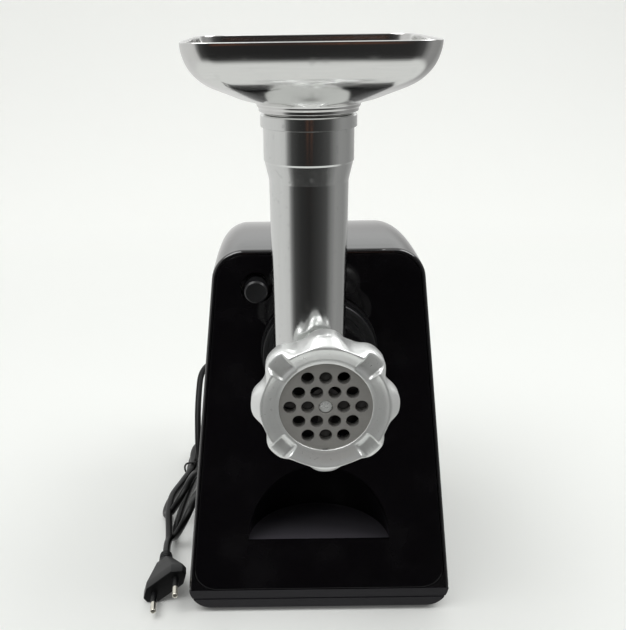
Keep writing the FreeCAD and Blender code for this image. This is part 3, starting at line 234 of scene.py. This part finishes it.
def drawn_aluminium(name, colour):
    """Pressed and polished sheet, with fine lines that run round the tray."""
    f = Finish(name)
    lines = f.noise(0.0006, 3.0, (0.03, 0.03, 1.0))
    waves = f.noise(0.035, 1.0)
    wear = f.step(f.noise(0.006, 4.0), 0.55, 0.75)
    base = f.between((lines * 0.5 + wear * 0.25).clamped(), colour, tuple(c * 0.86 for c in colour))
    normal = f.relief(waves, 0.0006, 0.5, f.relief(lines, 0.000012, 0.5))
    return f.make(Base_Color=base, Metallic=1.0, Roughness=0.09 + lines * 0.10 + wear * 0.07, Normal=normal)


def ground_steel(name, colour):
    """Surface-ground steel, grey and nearly matt, with grinding marks across it."""
    f = Finish(name)
    marks = f.noise(0.0005, 3.0, (0.06, 1.0, 1.0))
    patch = f.noise(0.006, 3.0)
    dark, pale = tuple(c * 0.88 for c in colour), tuple(c * 1.1 for c in colour)
    base = f.between(marks * 0.5 + patch * 0.5, dark, pale)
    return f.make(Base_Color=base, Metallic=0.7, Roughness=0.36 + marks * 0.12 + patch * 0.08,
                  Normal=f.relief(marks, 0.00002, 0.7))


def turned_metal(name, colour, rough=0.25):
    """Turned or drawn metal with fine rings along Y."""
    f = Finish(name)
    rings = f.noise(0.0005, 2.0, (0.05, 1.0, 0.05))
    patch = f.noise(0.004, 2.0)
    base = f.between(rings * 0.5 + patch * 0.4, colour, tuple(c * 0.8 for c in colour))
    return f.make(Base_Color=base, Metallic=1.0, Roughness=rough + rings * 0.15,
                  Normal=f.relief(rings, 0.00002, 0.5))


def auger_casting(name, colour, pin):
    """Dull casting whose front pin is turned bright."""
    f = Finish(name)
    bright = f.step(f.axis(1), PIN_ROOT, PIN_ROOT - 0.0006)
    patch = f.noise(0.006, 3.0)
    base = f.between(bright, f.between(patch, colour, tuple(c * 1.5 for c in colour)), pin)
    return f.make(Base_Color=base, Metallic=0.9 - bright * 0.3, Roughness=0.42 + patch * 0.1 - bright * 0.2,
                  Normal=f.relief(patch, 0.0001, 0.5))


def copper_winding(name):
    """Layers of lacquered wire."""
    f = Finish(name)
    turns = f.node("ShaderNodeTexWave", {"wave_type": "BANDS", "bands_direction": "X"}, {
        "Vector": f.place(), "Scale": 900.0, "Distortion": 0.6, "Detail": 1.0})[1]
    base = f.between(turns, (0.22, 0.07, 0.025), (0.62, 0.24, 0.10))
    return f.make(Base_Color=base, Metallic=0.8, Roughness=0.32 + turns * 0.1,
                  Normal=f.relief(turns, 0.0002, 0.8))


def moulded_nylon(name, colour):
    """Natural nylon, faintly clouded."""
    f = Finish(name)
    cloud = f.noise(0.01, 3.0)
    base = f.between(cloud, tuple(c * 0.9 for c in colour), colour)
    return f.make(Base_Color=base, Roughness=0.45 + cloud * 0.1,
                  Normal=f.relief(f.noise(0.0009, 2.0), 0.00003))


def soft_sheath(name, colour, rough=0.46, level=0.5):
    """Flexible cord sheath and soft rubber: satin, with faint mould marks and dust."""
    f = Finish(name)
    dust = f.step(f.noise(0.008, 4.0), 0.5, 0.8)
    fine = f.noise(0.0006, 2.0)
    base = f.between(dust * 0.5 + fine * 0.2, colour, tuple(c * 2.2 + 0.0015 for c in colour))
    return f.make(Base_Color=base, Roughness=rough + dust * 0.12, Normal=f.relief(fine, 0.00003, 0.7),
                  Specular_IOR_Level=level)


def circuit_board(name):
    """Green laminate with paler copper tracks under its lacquer."""
    f = Finish(name)
    tracks = f.step(f.noise(0.003, 0.0, (1.0, 0.3, 1.0)), 0.52, 0.56)
    base = f.between(tracks, (0.015, 0.09, 0.04), (0.03, 0.17, 0.08))
    return f.make(Base_Color=base, Roughness=0.35 + tracks * 0.1)


def finish_table(look):
    """Each record slot with the finish it takes."""
    black = tuple(look.body_colour)
    metal = tuple(look.metal_colour)
    return {
        "gloss_black": gloss_plastic("gloss_black_shell", black, 0.05, 1.85),
        "satin_grey": satin_plastic("satin_grey_base", tuple(look.base_colour), 0.40),
        "black_plastic": satin_plastic("black_plastic", (0.010, 0.010, 0.011), 0.30, level=0.45),
        "cast_aluminium": cast_aluminium("cast_aluminium", tuple(min(1.0, c * 1.12) for c in metal)),
        "polished_aluminium": drawn_aluminium("polished_tray", (0.80, 0.80, 0.79)),
        "steel": ground_steel("ground_plate", (0.45, 0.44, 0.42)),
        "bright_steel": turned_metal("bright_steel", (0.66, 0.66, 0.67)),
        "nylon": moulded_nylon("natural_nylon", (0.80, 0.78, 0.70)),
        "copper": copper_winding("copper_winding"),
        "gear_metal": turned_metal("gear_metal", (0.34, 0.34, 0.35), 0.4),
        "carbon": satin_plastic("brush_carbon", (0.03, 0.03, 0.032), 0.6),
        "board_green": circuit_board("board_laminate"),
        "soft_rubber": soft_sheath("foot_rubber", (0.010, 0.010, 0.010), 0.6),
        "cord_pvc": soft_sheath("cord_sheath", (0.0012, 0.0012, 0.0012), 0.36, 0.28),
        "plug_black": satin_plastic("plug_moulding", (0.0042, 0.0042, 0.0048), 0.42, 0.0009, 0.00005, 0.3),
        "pin_nickel": turned_metal("nickel_pins", (0.78, 0.75, 0.66), 0.22),
    }


def special_finishes(look):
    """The nodes whose finish isn't their slot's."""
    black = tuple(look.body_colour)
    return {
        "front_panel": gloss_plastic("gloss_black_panel", black, 0.035, 1.26, 0.02),
        # painted shade: the knife's steel is given a near-black grey because it sits in shade behind the
        # plate
        "knife": turned_metal("painted_shade_steel", (0.16, 0.16, 0.16), 0.3),
        # painted shade: the auger's casting is given a near-black grey because it sits in shade behind the
        # plate; its turned pin keeps its own bright colour
        "auger": auger_casting("auger_casting", (0.13, 0.13, 0.13), (0.85, 0.86, 0.85)),
        "grinder_head": polished_tube("polished_tube", tuple(look.metal_colour)),
        "recess_liner": gloss_plastic("gloss_black_recess", black, 0.05, 1.5, 0.02),
        # painted light: the recess floor is a paler grey than the black housing, standing in for the light
        # and reflections it shows inside the recess
        "recess_floor": satin_plastic("satin_painted_light_recess_floor", (0.056, 0.053, 0.062), 0.38),
    }


FINISHES = {}


def dress(piece, material):
    """Gives a piece one material."""
    piece.data.materials.clear()
    piece.data.materials.append(material)


# ---- making pieces -------------------------------------------------------
def add_piece(name, data):
    """A new object in the scene."""
    piece = bpy.data.objects.new(name, data)
    bpy.context.scene.collection.objects.link(piece)
    return piece


def mesh_piece(name, points, faces):
    """A smooth-shaded mesh with its doubled points merged and its faces turned outwards."""
    mesh = bpy.data.meshes.new(name)
    mesh.from_pydata(points, [], faces)
    mesh.validate()
    shape = bmesh.new()
    shape.from_mesh(mesh)
    bmesh.ops.remove_doubles(shape, verts=shape.verts, dist=1e-7)
    bmesh.ops.recalc_face_normals(shape, faces=shape.faces)
    shape.to_mesh(mesh)
    shape.free()
    for face in mesh.polygons:
        face.use_smooth = True
    return add_piece(name, mesh)


def nurbs_line(name, points, diameter, resolution=12):
    """A round flexible line along one open spline, points in metres."""
    curve = bpy.data.curves.new(name, "CURVE")
    curve.dimensions = "3D"
    spline = curve.splines.new("NURBS")
    spline.points.add(len(points) - 1)
    for spot, (x, y, z) in zip(spline.points, points):
        spot.co = (x, y, z, 1.0)
    spline.order_u = 3
    spline.use_endpoint_u = True
    spline.resolution_u = resolution
    curve.bevel_depth = diameter / 2
    curve.bevel_resolution = 5
    curve.use_fill_caps = True
    return add_piece(name, curve)


# ---- properties ----------------------------------------------------------
class BodyLook(bpy.types.PropertyGroup):
    body_colour: FloatVectorProperty(name="Body colour", description="Gloss plastic of the housing",
                                     subtype="COLOR", size=3, min=0.0, max=1.0,
                                     default=(0.0035, 0.003, 0.0038))
    base_colour: FloatVectorProperty(name="Base colour", description="Satin plastic of the base",
                                     subtype="COLOR", size=3, min=0.0, max=1.0, default=(0.021, 0.020, 0.024))
    metal_colour: FloatVectorProperty(name="Metal colour", description="Aluminium of the head and ring nut",
                                      subtype="COLOR", size=3, min=0.0, max=1.0, default=(0.80, 0.81, 0.80))


class LeadLook(bpy.types.PropertyGroup):
    diameter: FloatProperty(name="Lead diameter", description="Outside diameter of the mains lead",
                            unit="LENGTH", min=0.004, max=0.010, default=0.0056)
    length: FloatProperty(name="Lead length", description="Length from the housing to the plug",
                          unit="LENGTH", min=0.5, max=3.0, default=1.0)


class StudioLook(bpy.types.PropertyGroup):
    floor_colour: FloatVectorProperty(name="Floor colour", description="Plain pale floor and backdrop",
                                      subtype="COLOR", size=3, min=0.0, max=1.0, default=(0.80, 0.81, 0.79))
    lens: FloatProperty(name="Lens", description="Focal length of the camera", unit="CAMERA",
                        min=20.0, max=120.0, default=51.04)
    fill: FloatProperty(name="Fill light", description="Strength of the light from all round",
                        min=0.0, max=5.0, default=1.0)


# ---- operators -----------------------------------------------------------
class GRINDER_OT_finishes(bpy.types.Operator):
    """Give every solid of the machine its finish"""
    bl_idname = "grinder.finishes"
    bl_label = "Finish the solids"

    def execute(self, context):
        FINISHES.update(finish_table(context.scene.grinder_body))
        special = special_finishes(context.scene.grinder_body)
        slots = {s["node"]: s["material_slot"] for s in frame["record"]["subparts"]}
        for node, thing in NODES.items():
            dress(thing, special.get(node, FINISHES[slots[node]]))
        return {"FINISHED"}


class GRINDER_OT_lead(bpy.types.Operator):
    """Lay the mains lead, its tie and its plug beside the machine"""
    bl_idname = "grinder.lead"
    bl_label = "Lay the mains lead"

    def execute(self, context):
        look = context.scene.grinder_lead
        lead = nurbs_line("mains_lead", [tuple(c * MM for c in p) for p in lead_route()], look.diameter)
        dress(lead, FINISHES["cord_pvc"])
        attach(lead, "housing")
        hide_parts("mains_cord", "cord_tail", "cord_hank")
        tie = wire_tie()
        plug = plug_moulding()
        return {"FINISHED"}


# The route's places in millimetres. LEAD_OUT and the last four are the same as the solids', and the rest
# fills the hank.
LEAD_OUT = [(-50.0, 150.5, 82.0), (-50.0, 212.5, 82.0), (-98.5, 212.5, 80.0),
            (-101.0, 179.5, 52.0), (-100.0, 157.5, 25.5)]
HANK = [
    # behind the tie, over it and into the upper front fold
    (-99.0, 148.0, 9.0), (-97.9, 143.0, 9.3), (-97.9, 134.0, 9.3), (-99.0, 118.0, 13.0),
    (-96.5, 100.0, 24.0), (-98.0, 80.0, 32.0), (-102.0, 64.0, 29.0), (-110.0, 57.0, 17.0),
    (-118.5, 62.0, 5.0), (-120.5, 80.0, 3.4), (-114.0, 112.0, 3.2),
    # under the tie, round the first rear fold and back
    (-106.6, 134.0, 4.6), (-106.6, 143.0, 4.6), (-107.0, 153.0, 3.2), (-106.5, 166.0, 3.2),
    (-103.0, 180.0, 3.2), (-90.0, 184.5, 3.2), (-77.0, 180.0, 3.2), (-77.5, 164.0, 3.2),
    (-88.0, 151.0, 3.2), (-95.0, 143.0, 4.6), (-95.0, 134.0, 4.6), (-94.0, 112.0, 7.0),
    (-93.5, 84.0, 15.0), (-92.5, 54.0, 30.0), (-93.5, 34.0, 33.0), (-99.0, 25.0, 24.0),
    (-107.0, 25.0, 10.0), (-110.0, 36.0, 3.6), (-109.0, 54.0, 3.2), (-106.5, 90.0, 3.2),
    # under the tie in the middle, round the second rear fold
    (-100.8, 134.0, 4.6), (-100.8, 143.0, 4.6), (-98.0, 154.0, 8.6), (-88.0, 160.0, 10.5),
    (-79.5, 169.0, 11.2), (-83.0, 181.0, 10.4), (-94.0, 184.5, 9.6), (-103.5, 178.0, 9.4),
    (-105.5, 164.0, 9.4), (-104.5, 150.0, 9.0),
    # over the tie and on to the plug
    (-103.7, 143.0, 9.3), (-103.7, 134.0, 9.3), (-110.5, 106.0, 10.6), (-115.5, 82.0, 13.6),
    (-115.5, 60.0, 13.6), (-113.0, 40.0, 10.6), (-110.9, 23.2, 9.6), (-111.6, 16.5, 10.8),
    (-110.4, 0.5, 12.4), (-109.0, -14.5, 12.4)]
PLUG_AT = (-106.8, -38.9, 12.4)
PLUG_ROLL, PLUG_YAW = 36.3, 5.3
HANK_X = -100.8
TIE_Y, TIE_Z = 139.5, 7.0
TIE_WIRE = 0.0016
# The plug's section as shares of its half width and half thickness, and its rings: place along it, half
# width, half thickness.
PLUG_OUTLINE = ((1.0, 0.30), (0.64, 1.0), (-0.64, 1.0), (-1.0, 0.30),
                (-1.0, -0.30), (-0.64, -1.0), (0.64, -1.0), (1.0, -0.30))
PLUG_RINGS = ((0.0, 16.6, 6.3), (0.3, 17.2, 6.75), (1.0, 17.4, 6.85), (8.0, 17.4, 6.85), (9.2, 17.0, 6.7),
              (18.0, 12.0, 5.8), (26.0, 7.6, 5.0), (27.6, 7.0, 4.8))
PIN_APART = 19.0


def lead_route():
    """Out of the housing, to and fro through the tie, and on to the plug."""
    return LEAD_OUT + HANK


def wire_tie():
    """A twist of covered wire round the hank."""
    half_wide, half_high, squareness = 10.2, 6.1, 0.7
    points = []
    for i in range(17):
        a = math.radians(90 + 22.5 * i)
        across, up = (math.copysign(abs(v) ** squareness, v) for v in (math.cos(a), math.sin(a)))
        points.append((HANK_X + half_wide * across, TIE_Y - 1 + i * 0.15, TIE_Z + half_high * up))
    # the two ends twisted together on top
    for i in range(8):
        a = math.radians(150 * i)
        points.append((HANK_X + 2.4 + 1.4 * math.cos(a) + i * 0.9, TIE_Y + 1.4 * math.sin(a),
                       TIE_Z + 6.8 + i * 0.8))
    tie = nurbs_line("hank_tie", [tuple(c * MM for c in p) for p in points], TIE_WIRE, 6)
    dress(tie, FINISHES["soft_rubber"])
    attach(tie, "housing")
    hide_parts("cord_tie")
    return tie


def plug_moulding():
    """Flat two-pin plug: a bevelled body that narrows to a ribbed neck, with sleeves at its pins' roots."""
    points = [(half * u, y, thick * w) for y, half, thick in PLUG_RINGS for u, w in PLUG_OUTLINE]
    faces = []
    n = len(PLUG_OUTLINE)
    for r in range(len(PLUG_RINGS) - 1):
        for k in range(n):
            a, b = r * n + k, r * n + (k + 1) % n
            faces.append((a, b, b + n, a + n))
    faces.append(tuple(range(n))[::-1])
    faces.append(tuple(range(len(points) - n, len(points))))

    def turned(profile, sides, x):
        """A closed turned form along the plug, from its lengths and radii."""
        first = len(points)
        for y, r in profile:
            for k in range(sides):
                a = 2 * math.pi * k / sides
                points.append((x + r * math.cos(a), y, r * math.sin(a)))
        for j in range(len(profile) - 1):
            for k in range(sides):
                a = first + j * sides + k
                b = first + j * sides + (k + 1) % sides
                faces.append((a, b, b + sides, a + sides))
        faces.append(tuple(first + k for k in range(sides))[::-1])
        faces.append(tuple(first + (len(profile) - 1) * sides + k for k in range(sides)))

    neck = [(27.0, 4.9), (28.0, 5.0)]
    for rib in range(4):
        y = 29.0 + rib * 2.3
        neck += [(y, 5.0 - rib * 0.12), (y + 0.9, 5.0 - rib * 0.12), (y + 1.1, 4.1), (y + 1.9, 4.1)]
    turned(neck + [(38.0, 4.4), (38.6, 3.4)], 28, 0.0)
    for x in (-PIN_APART / 2, PIN_APART / 2):
        turned([(-10.0, 1.7), (-9.8, 2.08), (0.0, 2.2), (0.6, 3.0), (1.0, 3.0)], 20, x)
    turn = Matrix.Rotation(math.radians(PLUG_YAW), 3, "Z") @ Matrix.Rotation(math.radians(-PLUG_ROLL), 3, "Y")
    places = [tuple((turn @ Vector(p) + Vector(PLUG_AT)) * MM) for p in points]
    plug = mesh_piece("mains_plug", places, faces)
    bevel = plug.modifiers.new("edges", "BEVEL")
    bevel.width = 0.0007
    bevel.segments = 3
    bevel.limit_method = "ANGLE"
    bevel.angle_limit = math.radians(24)
    dress(plug, FINISHES["plug_black"])
    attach(plug, "housing")
    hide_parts("plug_body")
    return plug


class GRINDER_OT_ring_nut(bpy.types.Operator):
    """Cast the ring nut with soft lobes and grooves"""
    bl_idname = "grinder.ring_nut"
    bl_label = "Cast the ring nut"

    def execute(self, context):
        nut = ring_nut_casting()
        dress(nut, FINISHES["cast_aluminium"])
        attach(nut, "nut")
        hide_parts("ring_nut")
        return {"FINISHED"}


class GRINDER_OT_tray(bpy.types.Operator):
    """Press the food tray in one long curve"""
    bl_idname = "grinder.tray"
    bl_label = "Press the tray"

    def execute(self, context):
        tray = pressed_tray()
        dress(tray, FINISHES["polished_aluminium"])
        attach(tray, "tray")
        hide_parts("tray")
        return {"FINISHED"}


# The dish as outlines one below another, in millimetres: depth under the rim, how far in from the rim,
# corner radius.
DISH = ((0.0, 0.0, 16.0), (2.5, 0.25, 16.0), (5.0, 0.6, 16.0), (9.0, 1.7, 16.0), (12.5, 3.3, 15.6),
        (15.5, 5.4, 15.2), (18.2, 7.8, 15.2), (20.6, 10.6, 15.6), (22.8, 14.0, 16.6), (25.2, 18.6, 18.4),
        (28.2, 24.0, 21.5), (30.4, 27.3, 25.5))
DISH_LOW = 34.4
DISH_WALL = 1.5
BORE = 18.5
CORNER_STEPS = 12
# The collar under the dish, downwards: radius, and height over the dish's low point.
COLLAR = ((28.0, 2.5), (27.2, 1.4), (27.2, 0.2), (26.25, -0.3), (26.25, -0.8), (26.25, -1.9), (26.0, -2.3),
          (23.8, -2.5), (23.6, -3.0), (23.5, -3.6), (21.4, -3.6), (21.4, -4.2))


def rounded_outline(half_x, half_y, corner, height):
    """Points round a rectangle with round corners, the same number for every size."""
    steps = CORNER_STEPS
    points = []
    for quarter in range(4):
        sx, sy = ((1, 1), (-1, 1), (-1, -1), (1, -1))[quarter]
        cx, cy = sx * (half_x - corner), sy * (half_y - corner)
        for k in range(steps + 1):
            a = math.radians(90 * (quarter + k / steps))
            points.append((cx + corner * math.cos(a), cy + corner * math.sin(a), height))
    even = []
    for k, (x, y, z) in enumerate(points):
        even.append((x, y, z))
        if k % (steps + 1) == steps:
            nx, ny = points[(k + 1) % len(points)][:2]
            even += [(x + (nx - x) * j / 4, y + (ny - y) * j / 4, z) for j in (1, 2, 3)]
    return even


def pressed_tray():
    """Outside of the dish and spigot, round the rolled rim, and down the inside to the bore."""
    low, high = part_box("tray")
    x0, y0 = (low[0] + high[0]) / 2 / MM, (low[1] + high[1]) / 2 / MM
    half_x, half_y, rim = (high[0] - low[0]) / 2 / MM, (high[1] - low[1]) / 2 / MM, high[2] / MM
    foot = low[2] / MM
    outside, inside = [], []
    for k, (down, inward, corner) in enumerate(DISH):
        before, after = DISH[max(k - 1, 0)], DISH[min(k + 1, len(DISH) - 1)]
        lean = math.atan2(after[1] - before[1], after[0] - before[0])
        # the first ring stops short of the lip that rolls over it
        top, edge = (0.45, 0.1) if k == 0 else (0.0, 0)
        out = inward + edge
        outside.append(rounded_outline(half_x - out, half_y - out, corner, rim - down - top))
        thick, up = DISH_WALL * math.cos(lean), DISH_WALL * math.sin(lean)
        into = inward + thick
        inside.append(rounded_outline(half_x - into, half_y - into, corner - thick, rim - down + up - top))
    lip = [rounded_outline(half_x - 0.5, half_y - 0.5, 15.5, rim),
           rounded_outline(half_x - 1.1, half_y - 1.1, 14.9, rim)]

    def ring(radius, height):
        return rounded_outline(radius, radius, radius - 0.02, height)

    under = rim - DISH_LOW
    collar = [(radius, under + up) for radius, up in COLLAR]
    collar += [(21.4, foot + 1.0), (21.0, foot + 0.2), (20.4, foot), (BORE + 0.3, foot), (BORE, foot)]
    bore = [(BORE, foot), (BORE, foot + 1.0), (BORE, under + 0.6), (18.8, under + 1.2), (19.8, under + 1.45),
            (26.0, under + 1.5)]
    rings = [ring(r, z) for r, z in reversed(collar)] + outside[::-1] + lip + inside
    rings += [ring(r, z) for r, z in reversed(bore)]
    count = len(rings[0])
    points = [((x + x0) * MM, (y + y0) * MM, z * MM) for row in rings for x, y, z in row]
    faces = []
    for j in range(len(rings) - 1):
        for k in range(count):
            a, b = j * count + k, j * count + (k + 1) % count
            faces.append((a, b, b + count, a + count))
    tray = mesh_piece("pressed_tray", points, faces)
    finer = tray.modifiers.new("finer", "SUBSURF")
    finer.levels = finer.render_levels = 2
    return tray


def soft(x, low, high):
    """Smooth step from 0 to 1."""
    t = min(1.0, max(0.0, (x - low) / (high - low)))
    return t * t * (3 - 2 * t)


# The nut's rings in millimetres: radius, set-back from the front face, share of the lobes that it follows.
NUT_RINGS = (
    (31.3, 20.0, 0), (31.3, 5.0, 0), (27.4, 4.2, 0), (27.4, 3.05, 0), (25.2, 3.0, 0), (25.0, 2.7, 0),
    (25.0, 2.25, 0), (25.3, 2.0, 0), (27.4, 1.95, 0), (28.2, 1.8, 0), (30.4, 1.25, 0), (32.4, 0.75, 0),
    (33.1, 0.25, 0), (33.7, 0.02, 0), (34.3, 0.0, 0), (34.8, 0.25, 0.10), (35.4, 1.0, 0.25), (36.3, 2.4, 0.5),
    (37.4, 4.0, 0.8), (38.0, 5.2, 0.97), (38.2, 6.4, 1.0), (38.2, 10.0, 1.0), (38.2, 14.0, 1.0),
    (38.0, 15.6, 0.97), (37.2, 17.2, 0.8), (36.0, 19.0, 0.45), (35.0, 19.9, 0.15), (34.2, 20.0, 0.0))
LOBES = 8
LOBE_LOW, LOBE_RISE = -3.4, 5.0
GROOVE_DEPTH = 3.4


def ring_nut_casting():
    """Rings of points from the thread, over the face and the lobes, to the back edge."""
    around = 360
    points, faces = [], []
    for radius, back, share in NUT_RINGS:
        for k in range(around):
            a = 2 * math.pi * k / around
            lobe = 0.5 + 0.5 * math.cos(LOBES * a)
            lobe = 1 - (1 - lobe) ** 1.6
            r = radius + share * (LOBE_LOW + LOBE_RISE * lobe)
            # four grooves on the diagonals, which start outside the lip and deepen to the rim
            off = abs(math.degrees(a) % 90.0 - 45.0)
            groove = 1 - soft(r * math.sin(math.radians(off)), 4.7, 6.0)
            depth = GROOVE_DEPTH * groove * soft(r, 26.6, 28.4)
            # only the front is grooved, and the rings in a groove stay a little apart
            b = max(back, depth) if radius > 26.0 and back < 12 else back
            if back < 3.9 and radius >= 28.2:
                b = max(back, depth + 0.12 * back)
            points.append((r * math.sin(a) * MM, NUT_FRONT + b * MM, HEAD_Z + r * math.cos(a) * MM))
    for j in range(len(NUT_RINGS)):
        for k in range(around):
            a = j * around + k
            b = j * around + (k + 1) % around
            c, d = (a + around) % len(points), (b + around) % len(points)
            faces.append((a, b, d, c))
    return mesh_piece("ring_nut_casting", points, faces)


class GRINDER_OT_stage(bpy.types.Operator):
    """Set the pale floor, the light and the camera"""
    bl_idname = "grinder.stage"
    bl_label = "Set the stage"

    def execute(self, context):
        look = context.scene.grinder_studio
        floor_and_backdrop(tuple(look.floor_colour))
        light_from_all_round(look.fill)
        soft_light("key_light", (-0.7, -0.5, 1.5), (0.0, 0.0, 0.15), 1.1, 11.5)
        soft_light("side_light", (0.9, -0.2, 1.3), (0.0, 0.0, 0.15), 0.8, 7.5)
        set_camera(context.scene, look.lens)
        context.scene.view_settings.view_transform = "Standard"
        return {"FINISHED"}


def floor_and_backdrop(colour):
    """One sheet that runs along the floor and curves up behind."""
    front, bend, radius, top, half_wide = -2.6, 1.1, 0.7, 2.6, 3.2
    profile = [(front, 0.0), (bend, 0.0)]
    for i in range(1, 17):
        a = math.radians(90 * i / 16)
        profile.append((bend + radius * math.sin(a), radius * (1 - math.cos(a))))
    profile.append((bend + radius, top))
    points, faces = [], []
    for y, z in profile:
        points += [(-half_wide, y, z), (half_wide, y, z)]
    for i in range(len(profile) - 1):
        faces.append((2 * i, 2 * i + 1, 2 * i + 3, 2 * i + 2))
    sheet = mesh_piece("floor_sheet", points, faces)
    f = Finish("pale_floor")
    tone = f.noise(0.6, 2.0)
    far = f.step(f.axis(1), 0.1, 1.7)
    base = f.between(tone, colour, tuple(c * 0.985 for c in colour))
    glow = f.between(far, (0.06, 0.06, 0.058), (0.30, 0.30, 0.292))
    dress(sheet, f.make(Base_Color=base, Roughness=0.62, Specular_IOR_Level=0.25, Emission_Color=glow,
                        Emission_Strength=1.0))
    sheet.visible_glossy = False


class Surroundings(Finish):
    """The world's nodes, written like a finish."""

    def __init__(self, world):
        world.use_nodes = True
        self.tree = world.node_tree
        self.tree.nodes.clear()

    def glow(self, colour, strength):
        return self.node("ShaderNodeBackground", {}, {"Color": colour, "Strength": strength})[0]

    def choose(self, factor, first, second):
        return self.node("ShaderNodeMixShader", {}, {0: factor, 1: first, 2: second})[0]


# What stands round the table: degrees from straight in front of the machine, and how bright it is there.
ROUND = ((-180, 0.75), (-104, 0.66), (-84, 0.66), (-64, 0.60), (-55, 0.20), (-45, 0.06), (-26, 0.03),
         (0, 0.02), (30, 0.045), (50, 0.075), (64, 0.20), (82, 0.30), (118, 0.27), (152, 0.42), (180, 0.75))


def light_from_all_round(strength):
    """Pale walls and ceiling, a dim room in front of the table, and the table itself below."""
    world = bpy.data.worlds.new("surroundings")
    bpy.context.scene.world = world
    s = Surroundings(world)
    x, y, z = s.node("ShaderNodeSeparateXYZ", {}, {"Vector": s.node("ShaderNodeTexCoord")[0]})
    turn = x.math("ARCTAN2", 0.0 - y) * (180 / math.pi)
    rise = z.math("ARCSINE") * (180 / math.pi)
    stops = [((a + 180) / 360, (level, level, level * 0.985)) for a, level in ROUND]
    walls = s.node("ShaderNodeValToRGB", {"stops": stops}, {"Fac": turn / 360 + 0.5})[0]
    aside = turn.math("ABSOLUTE")
    # two narrow brown shapes, one each side of straight in front
    across = s.step(aside, 1.5, 3.5) * s.step(aside, 9.0, 6.0)
    warm = across * s.step(rise, -9.0, -6.5) * s.step(rise, 18.0, 8.0)
    walls = s.between(warm, walls, (0.115, 0.055, 0.036))
    behind = s.step(aside, 105, 140) * s.step(rise, 1.0, 12.0)
    walls = s.between((behind + s.step(rise, 30.0, 58.0)).clamped(), walls, (0.96, 0.97, 0.96))
    walls = s.between(s.step(rise, -37.0, -49.0), walls, (0.76, 0.77, 0.75))
    seen = s.node("ShaderNodeLightPath")[0]
    shown = s.choose(seen, s.glow(walls, strength), s.glow((0.875, 0.88, 0.865), 1.0))
    s.node("ShaderNodeOutputWorld", {}, {"Surface": shown})


def soft_light(name, place, aim, size, power):
    """A square lamp at one place, aimed at another."""
    light = bpy.data.lights.new(name, "AREA")
    light.shape = "SQUARE"
    light.size = size
    light.energy = power
    lamp = bpy.data.objects.new(name, light)
    bpy.context.scene.collection.objects.link(lamp)
    lamp.location = place
    lamp.rotation_euler = (Vector(aim) - Vector(place)).to_track_quat("-Z", "Y").to_euler()


CAMERA_AT = (-0.022, -0.5675, 0.395)
CAMERA_DOWN, CAMERA_ROLL = 18.13, -0.76
SHIFT_X, SHIFT_Y = 0.0479, -0.0253


def set_camera(scene, lens):
    """Looks down a little at the machine's front, with the picture's middle off the lens's."""
    data = bpy.data.cameras.new("view")
    data.lens = lens
    data.sensor_width = 36.0
    camera = bpy.data.objects.new("view", data)
    scene.collection.objects.link(camera)
    tilt = Matrix.Rotation(math.radians(90 - CAMERA_DOWN), 4, "X")
    roll = Matrix.Rotation(math.radians(CAMERA_ROLL), 4, "Z")
    camera.matrix_world = Matrix.Translation(CAMERA_AT) @ (tilt @ roll)
    data.shift_x = SHIFT_X
    data.shift_y = SHIFT_Y
    scene.camera = camera


class GRINDER_PT_panel(bpy.types.Panel):
    """The grinder's pieces and looks"""
    bl_label = "Meat grinder"
    bl_idname = "GRINDER_PT_panel"
    bl_space_type = "VIEW_3D"
    bl_region_type = "UI"
    bl_category = "Grinder"

    def draw(self, context):
        scene = context.scene
        for group in (scene.grinder_body, scene.grinder_lead, scene.grinder_studio):
            box = self.layout.box()
            for key in group.__annotations__:
                box.prop(group, key)
        for maker in MAKERS:
            self.layout.operator(maker.bl_idname)


GROUPS = (BodyLook, LeadLook, StudioLook)
MAKERS = (GRINDER_OT_stage, GRINDER_OT_finishes, GRINDER_OT_lead, GRINDER_OT_ring_nut, GRINDER_OT_tray)


def register():
    for kind in GROUPS + MAKERS + (GRINDER_PT_panel,):
        bpy.utils.register_class(kind)
    bpy.types.Scene.grinder_body = PointerProperty(type=BodyLook)
    bpy.types.Scene.grinder_lead = PointerProperty(type=LeadLook)
    bpy.types.Scene.grinder_studio = PointerProperty(type=StudioLook)


def unregister():
    for key in ("grinder_body", "grinder_lead", "grinder_studio"):
        delattr(bpy.types.Scene, key)
    for kind in reversed(GROUPS + MAKERS + (GRINDER_PT_panel,)):
        bpy.utils.unregister_class(kind)


def main():
    register()
    bpy.ops.grinder.stage()
    bpy.ops.grinder.finishes()
    bpy.ops.grinder.lead()
    bpy.ops.grinder.ring_nut()
    bpy.ops.grinder.tray()


if __name__ == "__main__":
    main()
